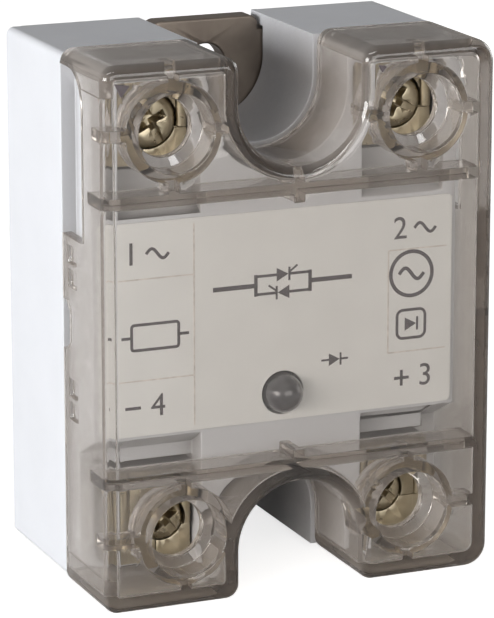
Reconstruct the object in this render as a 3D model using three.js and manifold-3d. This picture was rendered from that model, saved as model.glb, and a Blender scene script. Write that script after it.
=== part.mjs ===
// Panel-mount solid state relay with a removable clear cover and four screw-clamp terminals.
//
// Millimetres, +Z up, X to the right, seen from the front. The front faces -Y.
// The origin is the centre of the base plate's mounting face, which lies in the plane y = 0,
// so a "depth" below is a distance forward from that face: a point at depth d has y = -d.

import * as THREE from 'three';
import { mergeVertices } from 'three/addons/utils/BufferGeometryUtils.js';
import Module from 'manifold-3d';

const wasm = await Module();
wasm.setup();

// ---- Driving dimensions -------------------------------------------------------------------

const GAP = 0.3; // clearance between neighbouring parts
const SOLDER = 0.1; // joint line between soldered parts
const OVERCUT = 1; // how far a cutting shape runs past the face that it opens

const BODY_HALF_WIDTH = 22.6;
const BODY_HALF_HEIGHT = 29.2;
const BODY_CORNER_R = 0.9;
const FRONT_CORNER_R = 2.0; // corners of the narrower part that the cover fits over
const LEDGE_DEPTH = 17.3; // the cover's skirt sits on this ledge
const PLATEAU_DEPTH = 24.0; // raised centre that carries the label
const PLATEAU_HALF_HEIGHT = 12.2;
const STEP_DEPTH = 21.4; // step between the plateau and each well
const STEP_Z = 13.8;
const LOWER_WALL_DEPTH = 19.4; // walls around the control terminals' wells are lower still
const LOWER_WALL_Z = 14.6;

const NOTCH_HALF_WIDTH = 6.8; // U-shaped opening over each mounting hole
const NOTCH_CENTRE_Z = 24.6;

const PLATE_THICKNESS = 3.0;
const RIM_WALL = 1.4;
const PLATE_CORNER_R = 1.5;
const TAB_HALF_WIDTH = 6.4;
const TAB_TOP = 29.05;
const TAB_CORNER_R = 1.0;
const MOUNT_HOLE_Z = 23.8; // half of the standard 47.6 mm pitch
const MOUNT_HOLE_R = 2.4;
const MOUNT_SLOT_HALF = 1.2; // half the straight length of the lower, slotted hole

const CAVITY_HALF_WIDTH = 19.0;
const CAVITY_HALF_HEIGHT = 13.2;
const CAVITY_DEPTH = 22.4;
const CAVITY_CORNER_R = 1.5;
const CORNER_CAVITY_DEPTH = 7.8;
const CORNER_CAVITY_INNER_X = 9.9;

const WELL_INNER_X = 9.5;
const WELL_OUTER_X = 19.2;
const WELL_INNER_Z = 15.6;
const WELL_OUTER_Z = 27.3;
const WELL_FLOOR_DEPTH = 15.3;
const WELL_CORNER_R = 1.0;
const NUT_POCKET_DEPTH = 12.3;
const TIP_BORE_DEPTH = 8.8;
const TIP_BORE_R = 2.7;

const COVER_HALF_WIDTH = 22.7;
const COVER_HALF_HEIGHT = 29.8;
const COVER_CORNER_R = 3.4; // right-hand corners
const COVER_LEFT_CORNER_R = 1.6;
const COVER_INNER_LEFT_R = 0.4;
const COVER_FRONT_DEPTH = 30.3;
const COVER_WALL = 1.5;
const NOTCH_WALL = 1.3; // the cover's wall around each notch
const COVER_EDGE_R = 1.1;
const COVER_BACK_DEPTH = LEDGE_DEPTH + GAP;
const COVER_NOTCH_HALF = 7.15;
const COVER_MOUTH_R = 1.6;
const COVER_FIT = 0.35; // sliding clearance over the housing
const COVER_INNER_FRONT = COVER_FRONT_DEPTH - COVER_WALL;
const RIB_Z = 15.0;
const RIB_THICKNESS = 1.2;
const RIB_BACK_DEPTH = 24.65;
const COLLAR_R = 5.4;
const COLLAR_DISH_R = 4.3;
const COLLAR_HOLE_R = 3.2;
const COLLAR_BACK_DEPTH = 25.1;
const COLLAR_FLOOR_DEPTH = 26.2;
const COLLAR_FLOOR_RISE = 0.5; // the dish's floor slopes up this much to its wall
const WEB_BACK_DEPTH = COLLAR_BACK_DEPTH + 1; // short webs that tie each collar to the walls
const CENTRE_WEB_Z = 13.5;
const CUT_AWAY = { front: 23.7, low: 9.8, high: 28.2, cornerDepth: 3.6, cornerZ: 3.6 };
const TAB_GAP = { front: 19.6, low: -2.9, high: 2.5, chamfer: 1.0 };
const ROOT = 0.3; // how far a rib or a joined-on shape is rooted in the wall behind it

const LABEL_THICKNESS = 0.2;
const LABEL_HALF_WIDTH = 20.3;
const LABEL_HALF_HEIGHT = 11.8;
const LABEL_CORNER_R = 0.6;
const LENS_R = 2.15;
const LENS_Z = -8.7;
const LENS_DOME_DEPTH = 24.5;
const LENS_FLANGE = 0.8;
const LENS_FLANGE_THICKNESS = 1.1;
const LED_R = 1.5;
const LED_FLANGE = 0.4;
const LED_FLANGE_THICKNESS = 1.0;
const LED_DOME_DEPTH = 19.2;

const STRIP_FRONT_DEPTH = 16.9; // face that a wire is clamped against
const CLAMP_THICKNESS = 1.0;
const CLAMP_LIP = 2.4; // height of the side edges that are turned towards the wire
const CLAMP_LIP_WIDTH = 1.0;
const CLAMP_CHAMFER = 0.4;
const CLAMP_HEIGHT = 9.4;
const CLAMP_RIDGE = 2.0; // height of the raised border around the screw head
const HEAD_POCKET_GAP = 0.3;
const HEAD_HEIGHT = 2.0;
const HEAD_SEAT = 0.15; // between the head and the clamp plate
const SLOT_HALF_WIDTH = 0.45; // screw recess: a slot right across, and a deeper cross
const SLOT_CUT_DEPTH = 0.8;
const CROSS_HALF_WIDTH = 0.55;
const CROSS_CUT_DEPTH = 1.5;
const TIP_CHAMFER = 0.5;
const TIP_CLEARANCE = 0.4;
const HEAD_RIM = 1.0; // rounding of the head's edge
const HEAD_RIM_BREAK = 0.3; // share of the rim that its two chamfers meet at
const CROSS_RATIO = 0.6; // of the head's radius
const CLAMP_BACK_DEPTH = STRIP_FRONT_DEPTH + GAP;
const CLAMP_FRONT_DEPTH = CLAMP_BACK_DEPTH + CLAMP_LIP + CLAMP_THICKNESS;
const NUT_CORNER_R = 0.4;
const SCREW_Z = 22.2;

const LOAD_TERMINAL = {
  x: 14.4, headR: 3.1, shankR: 1.95, boreR: 2.35, nutHalf: 3.5, clampInner: 4.4, clampOuter: 4.4,
  stripHalf: 3.5, stripThickness: 1.2,
};
const CONTROL_TERMINAL = {
  x: 13.2, headR: 2.5, shankR: 1.5, boreR: 1.9, nutHalf: 3.1, clampInner: 3.4, clampOuter: 5.4,
  stripHalf: 2.6, stripThickness: 0.8,
};
const RECESS_TURN = { upper_left: 1.1, upper_right: 0.5, lower_left: 0.9, lower_right: 0.7 };
const LOAD_STRIP = { end: 26.6, bend: 12.2, footEnd: 8.2, footThickness: 1.0 }; // ends and bends, in z
const CONTROL_STRIP = { end: 26.2, bend: 9.8 };

const STAGE_HALF_HEIGHT = 10.2; // ceramic substrate and gel
const SUBSTRATE_HALF_WIDTH = 17.0;
const GEL_HALF_WIDTH = 18.4;
const PAD_X = 8.3;
const PAD_HALF_WIDTH = 7.7;
const PAD_HALF_HEIGHT = 9.6;
const CLIP_THICKNESS = 0.6;
const CLIP_HEIGHT = 3.6; // width of the strip, which runs along X
const CLIP_RISE = 0.8;
const CLIP_Z = 3.6;
const CLIP_X = { chipEnd: 9.6, chipStep: 5.0, padStep: -1.4, padEnd: -4.4 };

const SUBSTRATE_DEPTH = PLATE_THICKNESS + SOLDER;
const SUBSTRATE_THICKNESS = 0.8;
const PAD_DEPTH = SUBSTRATE_DEPTH + SUBSTRATE_THICKNESS + SOLDER;
const PAD_THICKNESS = 0.4;
const CHIP_DEPTH = PAD_DEPTH + PAD_THICKNESS + SOLDER;
const CHIP_THICKNESS = 0.4;
const CHIP_HALF = 3.2;
const CHIP_X = 8.0;
const CHIP_Z = 4.2;
const CLIP_DEPTH = CHIP_DEPTH + CHIP_THICKNESS + SOLDER;
const GATE_X = 10.4;
const GATE_Z = 6.6;
const GATE_LEAD_R = 0.35;
const GEL_HOLE_CLEARANCE = 0.4;
const GEL_BACK_DEPTH = 7.0;
const GEL_FRONT_DEPTH = 12.0;
const BOARD_BACK_DEPTH = 14.0;
const BOARD_THICKNESS = 1.6;
const BOARD_FRONT_DEPTH = BOARD_BACK_DEPTH + BOARD_THICKNESS;
const PART_DEPTH = BOARD_FRONT_DEPTH + SOLDER; // components stand on the board from here
const BOARD_HALF_WIDTH = 18.2;
const BOARD_HALF_HEIGHT = 10.0;
const LEAD_R = 0.35;
const AXIAL_LEAD_R = 0.3;
const AXIAL_LIFT = 0.3; // resistor bodies clear the board by this much
const INPUT_RESISTOR = { bodyR: 1.2, length: 6.3, span: 9.0, x: -12.0, z: -3.4 };
const SNUBBER_RESISTOR = { bodyR: 1.7, length: 9.0, span: 12.0, x: 10.5, z: -3.2 };
const SNUBBER_CAPACITOR = { halfWidth: 5.0, halfHeight: 3.0, tall: 5.5, x: 10.0, z: 4.6 };
const TRANSISTOR = { radius: 2.3, flatStart: -0.4, flatEnd: 2.4, tall: 4.4, x: -14.2, z: 4.5 };
const OPTOCOUPLER = {
  halfWidth: 3.2, halfHeight: 4.3, back: 0.6, front: 3.8, pitch: 2.54,
  legX: 3.6, legHalfWidth: 0.5, legHalfHeight: 0.3, legFront: 2.2, x: -5.5, z: 3.2,
};

const CHORD_ERROR = 0.04; // how far a flat facet may stray from the true round surface

// ---- Geometry helpers ---------------------------------------------------------------------

// Straight steps that stand in for an arc of this radius and angle
function stepsFor(radius, angle = 2 * Math.PI) {
  return Math.max(2, Math.ceil(Math.abs(angle) / (2 * Math.acos(1 - CHORD_ERROR / radius))));
}

// Points along an arc, both ends included; angles in quarter turns from +X
function arc(x, z, radius, from, to) {
  if (radius === 0) return [new THREE.Vector2(x, z)];
  const quarter = Math.PI / 2;
  const steps = stepsFor(radius, (to - from) * quarter);
  return Array.from({ length: steps + 1 }, (_, i) => {
    const angle = (from + ((to - from) * i) / steps) * quarter;
    return new THREE.Vector2(x + radius * Math.cos(angle), z + radius * Math.sin(angle));
  });
}

function circle(radius, x = 0, z = 0) {
  return arc(x, z, radius, 0, 4).slice(0, -1);
}

// Keeps positions only, welds shared corners, drops slivers and makes the faces point outwards.
function closed(geometry) {
  const bare = new THREE.BufferGeometry();
  bare.setAttribute('position', geometry.attributes.position);
  if (geometry.index) bare.setIndex(geometry.index);
  const merged = mergeVertices(bare, 1e-4);
  const p = merged.attributes.position;
  const corner = (i) => new THREE.Vector3().fromBufferAttribute(p, i);
  const triangles = [];
  let volume = 0;
  for (let i = 0; i < merged.index.count; i += 3) {
    const [a, b, c] = [0, 1, 2].map((k) => merged.index.getX(i + k));
    if (a === b || b === c || c === a) continue;
    triangles.push(a, b, c);
    volume += corner(a).dot(corner(b).cross(corner(c)));
  }
  if (volume < 0) {
    for (let i = 0; i < triangles.length; i += 3) {
      [triangles[i], triangles[i + 1]] = [triangles[i + 1], triangles[i]];
    }
  }
  merged.setIndex(triangles);
  return merged;
}

function toSolid(geometry) {
  const g = closed(geometry);
  return new wasm.Manifold(new wasm.Mesh({
    numProp: 3,
    vertProperties: new Float32Array(g.attributes.position.array),
    triVerts: new Uint32Array(g.index.array),
  }));
}

function toGeometry(solid) {
  const mesh = solid.getMesh();
  const g = new THREE.BufferGeometry();
  g.setAttribute('position', new THREE.BufferAttribute(new Float32Array(mesh.vertProperties), 3));
  g.setIndex([...mesh.triVerts]);
  return g;
}

// base with every geometry of `added` joined to it and every geometry of `removed` cut from it
function carve(base, removed, added = []) {
  let solid = toSolid(base);
  for (const g of added) solid = solid.add(toSolid(g));
  for (const g of removed) solid = solid.subtract(toSolid(g));
  return toGeometry(solid);
}

// A flat part drawn as seen from the front (shape x right, shape y up), between two depths
function slab(shape, backDepth, frontDepth) {
  const g = new THREE.ExtrudeGeometry(shape, { depth: frontDepth - backDepth, bevelEnabled: false });
  g.rotateX(Math.PI / 2);
  g.translate(0, -backDepth, 0);
  return g;
}

// A part drawn as seen from the side, as [depth, z] corners, and centred across X
function sideSlab(corners, width) {
  const shape = new THREE.Shape(corners.map(([depth, z]) => new THREE.Vector2(-depth, z)));
  const g = new THREE.ExtrudeGeometry(shape, { depth: width, bevelEnabled: false });
  g.rotateX(Math.PI / 2);
  g.rotateZ(Math.PI / 2);
  g.translate(-width / 2, 0, 0);
  return g;
}

// A part drawn as seen from above, as [x, depth] corners, and centred across Z
function topSlab(corners, height) {
  const shape = new THREE.Shape(corners.map(([x, depth]) => new THREE.Vector2(x, -depth)));
  const g = new THREE.ExtrudeGeometry(shape, { depth: height, bevelEnabled: false });
  g.translate(0, 0, -height / 2);
  return g;
}

function box(x0, x1, backDepth, frontDepth, z0, z1) {
  const g = new THREE.BoxGeometry(x1 - x0, frontDepth - backDepth, z1 - z0);
  g.translate((x0 + x1) / 2, -(backDepth + frontDepth) / 2, (z0 + z1) / 2);
  return g;
}

// A round part whose axis runs front to back; profile is a list of [radius, depth]
function turned(profile, x = 0, z = 0) {
  const widest = Math.max(...profile.map(([r]) => r));
  const points = profile.map(([r, depth]) => new THREE.Vector2(r, -depth));
  const g = new THREE.LatheGeometry(points, stepsFor(widest));
  g.translate(x, 0, z);
  return g;
}

function rod(radius, backDepth, frontDepth, x = 0, z = 0) {
  const g = new THREE.CylinderGeometry(radius, radius, frontDepth - backDepth, stepsFor(radius));
  g.translate(x, -(backDepth + frontDepth) / 2, z);
  return g;
}

function roundedRect(x0, x1, z0, z1, r) {
  return new THREE.Shape([
    ...arc(x1 - r, z0 + r, r, -1, 0),
    ...arc(x1 - r, z1 - r, r, 0, 1),
    ...arc(x0 + r, z1 - r, r, 1, 2),
    ...arc(x0 + r, z0 + r, r, 2, 3),
  ]);
}

// Rounded rectangle with a U-shaped notch in its top and its bottom edge. The notch mouths'
// corners and the left-hand corners have their own radius.
function notchedOutline(halfWidth, halfHeight, r, notchHalf, mouthR = 0, leftR = r) {
  const cornerX = halfWidth - r;
  const cornerZ = halfHeight - r;
  const leftX = halfWidth - leftR;
  const leftZ = halfHeight - leftR;
  const mouthX = notchHalf + mouthR;
  const mouthZ = halfHeight - mouthR;
  return new THREE.Shape([
    ...arc(-mouthX, mouthZ, mouthR, 0, 1),
    ...arc(-leftX, leftZ, leftR, 1, 2),
    ...arc(-leftX, -leftZ, leftR, 2, 3),
    ...arc(-mouthX, -mouthZ, mouthR, 3, 4),
    ...arc(0, -NOTCH_CENTRE_Z, notchHalf, 2, 0),
    ...arc(mouthX, -mouthZ, mouthR, 2, 3),
    ...arc(cornerX, -cornerZ, r, 3, 4),
    ...arc(cornerX, cornerZ, r, 0, 1),
    ...arc(mouthX, mouthZ, mouthR, 1, 2),
    ...arc(0, NOTCH_CENTRE_Z, notchHalf, 4, 2),
  ]);
}

// ---- Placing parts ------------------------------------------------------------------------

const FINISHES = {
  nickelPlate: { color: 0x9b948a, roughness: 0.38, metalness: 0.9 },
  whiteMoulding: { color: 0xe9ebee, roughness: 0.55, metalness: 0.0 },
  clearMoulding: { color: 0xb5aaa0, roughness: 0.12, metalness: 0.0 },
  labelFilm: { color: 0xc9c6be, roughness: 0.6, metalness: 0.0 },
  smokedLens: { color: 0x3a3a3d, roughness: 0.2, metalness: 0.0 },
  greenLed: { color: 0x5fae5a, roughness: 0.25, metalness: 0.0 },
  board: { color: 0x2f6b3c, roughness: 0.5, metalness: 0.0 },
  blackEpoxy: { color: 0x1d1d1f, roughness: 0.5, metalness: 0.0 },
  tanEnamel: { color: 0xc8a878, roughness: 0.45, metalness: 0.0 },
  yellowFilm: { color: 0xd8b23c, roughness: 0.45, metalness: 0.0 },
  ceramic: { color: 0xf0ede4, roughness: 0.7, metalness: 0.0 },
  copper: { color: 0xb87343, roughness: 0.35, metalness: 0.95 },
  silicon: { color: 0x5b5f68, roughness: 0.25, metalness: 0.6 },
  gel: { color: 0xd6d2c4, roughness: 0.2, metalness: 0.0 },
  brass: { color: 0xa8925a, roughness: 0.35, metalness: 0.9 },
  plating: { color: 0x9a8f76, roughness: 0.32, metalness: 0.92 },
};

const relay = new THREE.Group();

function part(name, geometry, finish, parent = relay) {
  const mesh = new THREE.Mesh(closed(geometry), new THREE.MeshStandardMaterial(FINISHES[finish]));
  mesh.name = name;
  parent.add(mesh);
  return mesh;
}

const SIDES = [['left', -1], ['right', 1]];
const CORNERS = [];
for (const [sideName, side] of SIDES) {
  CORNERS.push({ name: `upper_${sideName}`, side, end: 1, size: LOAD_TERMINAL });
  CORNERS.push({ name: `lower_${sideName}`, side, end: -1, size: CONTROL_TERMINAL });
}

// ---- Base plate ---------------------------------------------------------------------------

function basePlate() {
  const halfWidth = BODY_HALF_WIDTH - RIM_WALL - GAP;
  const halfHeight = BODY_HALF_HEIGHT - RIM_WALL - GAP;
  const plate = slab(roundedRect(-halfWidth, halfWidth, -halfHeight, halfHeight, PLATE_CORNER_R),
    0, PLATE_THICKNESS);
  const tabs = slab(roundedRect(-TAB_HALF_WIDTH, TAB_HALF_WIDTH, -TAB_TOP, TAB_TOP, TAB_CORNER_R),
    0, PLATE_THICKNESS);
  const roundHole = rod(MOUNT_HOLE_R, -OVERCUT, PLATE_THICKNESS + OVERCUT, 0, MOUNT_HOLE_Z);
  const slotShape = roundedRect(-MOUNT_HOLE_R, MOUNT_HOLE_R,
    -MOUNT_HOLE_Z - MOUNT_HOLE_R - MOUNT_SLOT_HALF, -MOUNT_HOLE_Z + MOUNT_HOLE_R + MOUNT_SLOT_HALF,
    MOUNT_HOLE_R - 0.01);
  return carve(plate, [roundHole, slab(slotShape, -OVERCUT, PLATE_THICKNESS + OVERCUT)], [tabs]);
}

// ---- Housing ------------------------------------------------------------------------------

function housing() {
  const frontHalfWidth = COVER_HALF_WIDTH - COVER_WALL - COVER_FIT;
  const frontHalfHeight = COVER_HALF_HEIGHT - COVER_WALL - COVER_FIT;
  const frontNotchHalf = COVER_NOTCH_HALF + NOTCH_WALL + COVER_FIT;
  const body = slab(notchedOutline(BODY_HALF_WIDTH, BODY_HALF_HEIGHT, BODY_CORNER_R, NOTCH_HALF_WIDTH),
    0, LEDGE_DEPTH);
  const front = slab(notchedOutline(frontHalfWidth, frontHalfHeight, FRONT_CORNER_R, frontNotchHalf),
    LEDGE_DEPTH - ROOT, PLATEAU_DEPTH);

  const pocketHalfWidth = BODY_HALF_WIDTH - RIM_WALL;
  const pocketHalfHeight = BODY_HALF_HEIGHT - RIM_WALL;
  const platePocket = slab(
    roundedRect(-pocketHalfWidth, pocketHalfWidth, -pocketHalfHeight, pocketHalfHeight, PLATE_CORNER_R),
    -OVERCUT, PLATE_THICKNESS + GAP);
  const cavity = slab(
    roundedRect(-CAVITY_HALF_WIDTH, CAVITY_HALF_WIDTH, -CAVITY_HALF_HEIGHT, CAVITY_HALF_HEIGHT,
      CAVITY_CORNER_R),
    PLATE_THICKNESS - OVERCUT, CAVITY_DEPTH);
  const lensHole = rod(LENS_R + GAP, CAVITY_DEPTH - OVERCUT, PLATEAU_DEPTH + OVERCUT, 0, LENS_Z);
  const cuts = [platePocket, cavity, lensHole];

  for (const { side, end, size } of CORNERS) {
    const spanX = (a, b) => [Math.min(side * a, side * b), Math.max(side * a, side * b)];
    const spanZ = (a, b) => [Math.min(end * a, end * b), Math.max(end * a, end * b)];
    const well = roundedRect(...spanX(WELL_INNER_X, WELL_OUTER_X),
      ...spanZ(WELL_INNER_Z, WELL_OUTER_Z), WELL_CORNER_R);
    cuts.push(slab(well, WELL_FLOOR_DEPTH, PLATEAU_DEPTH + OVERCUT));
    const pocket = size.nutHalf + GAP;
    cuts.push(box(side * size.x - pocket, side * size.x + pocket, NUT_POCKET_DEPTH,
      WELL_FLOOR_DEPTH + OVERCUT, end * SCREW_Z - pocket, end * SCREW_Z + pocket));
    cuts.push(rod(TIP_BORE_R, TIP_BORE_DEPTH, NUT_POCKET_DEPTH + OVERCUT, side * size.x, end * SCREW_Z));
    cuts.push(box(...spanX(CORNER_CAVITY_INNER_X, CAVITY_HALF_WIDTH), PLATE_THICKNESS - OVERCUT,
      CORNER_CAVITY_DEPTH, ...spanZ(CAVITY_HALF_HEIGHT - OVERCUT, WELL_OUTER_Z)));
    const slotHalf = size.stripHalf + GAP;
    cuts.push(box(side * size.x - slotHalf, side * size.x + slotHalf,
      STRIP_FRONT_DEPTH - size.stripThickness - GAP, STRIP_FRONT_DEPTH + GAP,
      ...spanZ(CAVITY_HALF_HEIGHT - OVERCUT, WELL_INNER_Z + OVERCUT)));
    cuts.push(stepCut(side, end));
    if (end < 0) cuts.push(lowerWallCut(side, frontHalfWidth));
  }
  return carve(body, cuts, [front]);
}

// Slope from the plateau down to the step at the well's inner edge
function stepCut(side, end) {
  const width = WELL_OUTER_X - WELL_INNER_X;
  const g = sideSlab([
    [PLATEAU_DEPTH + OVERCUT, end * PLATEAU_HALF_HEIGHT], [PLATEAU_DEPTH, end * PLATEAU_HALF_HEIGHT],
    [STEP_DEPTH, end * STEP_Z], [STEP_DEPTH, end * (WELL_INNER_Z + OVERCUT)],
    [PLATEAU_DEPTH + OVERCUT, end * (WELL_INNER_Z + OVERCUT)],
  ], width);
  g.translate(side * (WELL_INNER_X + width / 2), 0, 0);
  return g;
}

// Takes the outer and lower walls of a control terminal's well down, with a sloping start
function lowerWallCut(side, frontHalfWidth) {
  const far = BODY_HALF_HEIGHT + OVERCUT;
  const farX = frontHalfWidth + OVERCUT;
  const cutAcross = (x0, x1, start, end) => {
    const width = x1 - x0;
    const g = sideSlab([
      [PLATEAU_DEPTH + OVERCUT, -start], [PLATEAU_DEPTH, -start], [LOWER_WALL_DEPTH, -end],
      [LOWER_WALL_DEPTH, -far], [PLATEAU_DEPTH + OVERCUT, -far],
    ], width);
    g.translate(side * (x0 + width / 2), 0, 0);
    return toSolid(g);
  };
  const outer = cutAcross(WELL_OUTER_X - WELL_CORNER_R, farX, PLATEAU_HALF_HEIGHT, LOWER_WALL_Z);
  const lower = cutAcross(WELL_INNER_X, farX, SCREW_Z, SCREW_Z);
  return toGeometry(outer.add(lower));
}

// ---- Clear cover --------------------------------------------------------------------------

function cover() {
  const outline = notchedOutline(COVER_HALF_WIDTH, COVER_HALF_HEIGHT, COVER_CORNER_R,
    COVER_NOTCH_HALF, COVER_MOUTH_R, COVER_LEFT_CORNER_R);
  const startDepth = COVER_BACK_DEPTH - 2 * COVER_EDGE_R;
  const shell = new THREE.ExtrudeGeometry(outline, {
    depth: COVER_FRONT_DEPTH - startDepth - COVER_EDGE_R,
    bevelThickness: COVER_EDGE_R,
    bevelSize: COVER_EDGE_R,
    bevelOffset: -COVER_EDGE_R,
    bevelSegments: 3,
  });
  shell.rotateX(Math.PI / 2);
  shell.translate(0, -startDepth, 0);

  const far = COVER_HALF_HEIGHT + OVERCUT;
  const behind = box(-far, far, 0, COVER_BACK_DEPTH, -far, far);
  const inside = slab(
    notchedOutline(COVER_HALF_WIDTH - COVER_WALL, COVER_HALF_HEIGHT - COVER_WALL,
      COVER_CORNER_R - COVER_WALL, COVER_NOTCH_HALF + NOTCH_WALL, 0, COVER_INNER_LEFT_R),
    COVER_BACK_DEPTH - OVERCUT, COVER_INNER_FRONT);

  const ribs = [];
  const innerX = COVER_HALF_WIDTH - COVER_WALL;
  const notchBottom = NOTCH_CENTRE_Z - COVER_NOTCH_HALF;
  for (const end of [-1, 1]) {
    const span = (a, b) => [Math.min(end * a, end * b), Math.max(end * a, end * b)];
    ribs.push(box(-innerX - ROOT, innerX + ROOT, RIB_BACK_DEPTH, COVER_INNER_FRONT + ROOT,
      ...span(RIB_Z - RIB_THICKNESS / 2, RIB_Z + RIB_THICKNESS / 2)));
    ribs.push(box(-RIB_THICKNESS / 2, RIB_THICKNESS / 2, RIB_BACK_DEPTH, COVER_INNER_FRONT + ROOT,
      ...span(CENTRE_WEB_Z, notchBottom - NOTCH_WALL + ROOT)));
  }

  const collars = [];
  const bores = [];
  for (const { side, end, size } of CORNERS) {
    const x = side * size.x;
    const z = end * SCREW_Z;
    const half = RIB_THICKNESS / 2;
    const notchSide = COVER_NOTCH_HALF + NOTCH_WALL - ROOT;
    const spanX = (a, b) => [Math.min(side * a, side * b), Math.max(side * a, side * b)];
    const spanZ = (a, b) => [Math.min(end * a, end * b), Math.max(end * a, end * b)];
    collars.push(rod(COLLAR_R, COLLAR_BACK_DEPTH, COVER_INNER_FRONT + ROOT, x, z));
    collars.push(box(...spanX(notchSide, innerX + ROOT), WEB_BACK_DEPTH,
      COVER_INNER_FRONT + ROOT, z - half, z + half));
    collars.push(box(x - half, x + half, WEB_BACK_DEPTH, COVER_INNER_FRONT + ROOT,
      ...spanZ(RIB_Z, COVER_HALF_HEIGHT - COVER_WALL + ROOT)));
    bores.push(turned([
      [0, COLLAR_BACK_DEPTH - OVERCUT], [COLLAR_HOLE_R, COLLAR_BACK_DEPTH - OVERCUT],
      [COLLAR_HOLE_R, COLLAR_FLOOR_DEPTH], [COLLAR_DISH_R, COLLAR_FLOOR_DEPTH + COLLAR_FLOOR_RISE],
      [COLLAR_DISH_R, COVER_FRONT_DEPTH + OVERCUT], [0, COVER_FRONT_DEPTH + OVERCUT],
    ], x, z));
  }

  let solid = toSolid(shell).subtract(toSolid(behind)).subtract(toSolid(inside));
  for (const g of [...ribs, ...collars]) solid = solid.add(toSolid(g));
  for (const g of [...bores, ...skirtCuts()]) solid = solid.subtract(toSolid(g));
  return toGeometry(solid);
}

// Openings in both side skirts: a tall cut-away beside each load terminal and a short gap
// between the two skirt tabs
function skirtCuts() {
  const depth = COVER_WALL + OVERCUT;
  const behind = COVER_BACK_DEPTH - OVERCUT;
  const { front, low, high, cornerDepth, cornerZ } = CUT_AWAY;
  const cutAway = [
    [behind, low], [front, low], [front, high - cornerZ], [front - cornerDepth / 3, high - cornerZ / 3],
    [front - cornerDepth, high], [behind, high],
  ];
  const gap = TAB_GAP;
  const tabGap = [
    [behind, gap.low], [gap.front - gap.chamfer, gap.low], [gap.front, gap.low + gap.chamfer],
    [gap.front, gap.high - gap.chamfer], [gap.front - gap.chamfer, gap.high], [behind, gap.high],
  ];
  const cuts = [];
  for (const [, side] of SIDES) {
    for (const corners of [cutAway, tabGap]) {
      const g = sideSlab(corners, depth);
      g.translate(side * (COVER_HALF_WIDTH - COVER_WALL - ROOT + depth / 2), 0, 0);
      cuts.push(g);
    }
  }
  return cuts;
}

// ---- Label and indicator ------------------------------------------------------------------

function label() {
  const shape = roundedRect(-LABEL_HALF_WIDTH, LABEL_HALF_WIDTH, -LABEL_HALF_HEIGHT, LABEL_HALF_HEIGHT,
    LABEL_CORNER_R);
  shape.holes.push(new THREE.Path(circle(LENS_R + GAP, 0, LENS_Z)));
  return slab(shape, PLATEAU_DEPTH + SOLDER, PLATEAU_DEPTH + SOLDER + LABEL_THICKNESS);
}

// Dome with its base at a depth, standing on a straight barrel and an optional flange
function domeProfile(radius, flangeR, flangeBack, flangeFront, domeDepth) {
  const profile = [[0, flangeBack], [flangeR, flangeBack], [flangeR, flangeFront], [radius, flangeFront]];
  for (const { x, y } of arc(0, domeDepth, radius, 0, 1)) profile.push([x, y]);
  profile[profile.length - 1][0] = 0;
  return profile;
}

// ---- Terminals ----------------------------------------------------------------------------

// Bent strip from the well, through the housing wall, down to its copper pad
function loadStrip() {
  const back = STRIP_FRONT_DEPTH - LOAD_TERMINAL.stripThickness;
  const { end, bend, footEnd, footThickness } = LOAD_STRIP;
  const foot = CHIP_DEPTH;
  const inner = bend - LOAD_TERMINAL.stripThickness;
  const strip = sideSlab([
    [STRIP_FRONT_DEPTH, end], [back, end], [back, bend], [foot, bend], [foot, footEnd],
    [foot + footThickness, footEnd], [foot + footThickness, inner], [STRIP_FRONT_DEPTH, inner],
  ], 2 * LOAD_TERMINAL.stripHalf);
  return carve(strip, [rod(LOAD_TERMINAL.boreR, back - OVERCUT, STRIP_FRONT_DEPTH + OVERCUT, 0, SCREW_Z)]);
}

// Strip from the well, through the housing wall, to the edge of the circuit board
function controlStrip() {
  const back = STRIP_FRONT_DEPTH - CONTROL_TERMINAL.stripThickness;
  const { end, bend } = CONTROL_STRIP;
  const inner = bend - CONTROL_TERMINAL.stripThickness;
  const strip = sideSlab([
    [STRIP_FRONT_DEPTH, -end], [back, -end], [back, -bend], [PART_DEPTH, -bend],
    [PART_DEPTH, -inner], [STRIP_FRONT_DEPTH, -inner],
  ], 2 * CONTROL_TERMINAL.stripHalf);
  return carve(strip, [rod(CONTROL_TERMINAL.boreR, back - OVERCUT, STRIP_FRONT_DEPTH + OVERCUT,
    0, -SCREW_Z)]);
}

function nut(size) {
  const front = STRIP_FRONT_DEPTH - size.stripThickness - GAP;
  const shape = roundedRect(-size.nutHalf, size.nutHalf, -size.nutHalf, size.nutHalf, NUT_CORNER_R);
  shape.holes.push(new THREE.Path(circle(size.boreR)));
  return slab(shape, NUT_POCKET_DEPTH + GAP, front);
}

// Saddle plate with both side edges turned towards the wire and a raised border around the
// screw head, shown screwed down
function clampPlate(size, side) {
  const left = side < 0 ? -size.clampOuter : -size.clampInner;
  const right = side < 0 ? size.clampInner : size.clampOuter;
  const leftLip = left + CLAMP_LIP_WIDTH;
  const rightLip = right - CLAMP_LIP_WIDTH;
  const plateBack = CLAMP_BACK_DEPTH + CLAMP_LIP;
  const ridge = CLAMP_FRONT_DEPTH + CLAMP_RIDGE;
  const shoulder = ridge - CLAMP_CHAMFER;
  const channel = topSlab([
    [left, CLAMP_BACK_DEPTH], [leftLip, CLAMP_BACK_DEPTH], [leftLip, plateBack], [rightLip, plateBack],
    [rightLip, CLAMP_BACK_DEPTH], [right, CLAMP_BACK_DEPTH], [right, shoulder],
    [right - CLAMP_CHAMFER, ridge], [left + CLAMP_CHAMFER, ridge], [left, shoulder],
  ], CLAMP_HEIGHT);
  const bore = rod(size.boreR, CLAMP_BACK_DEPTH - OVERCUT, ridge);
  const pocket = rod(size.headR + HEAD_POCKET_GAP, CLAMP_FRONT_DEPTH, ridge + OVERCUT);
  return carve(channel, [bore, pocket]);
}

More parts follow.
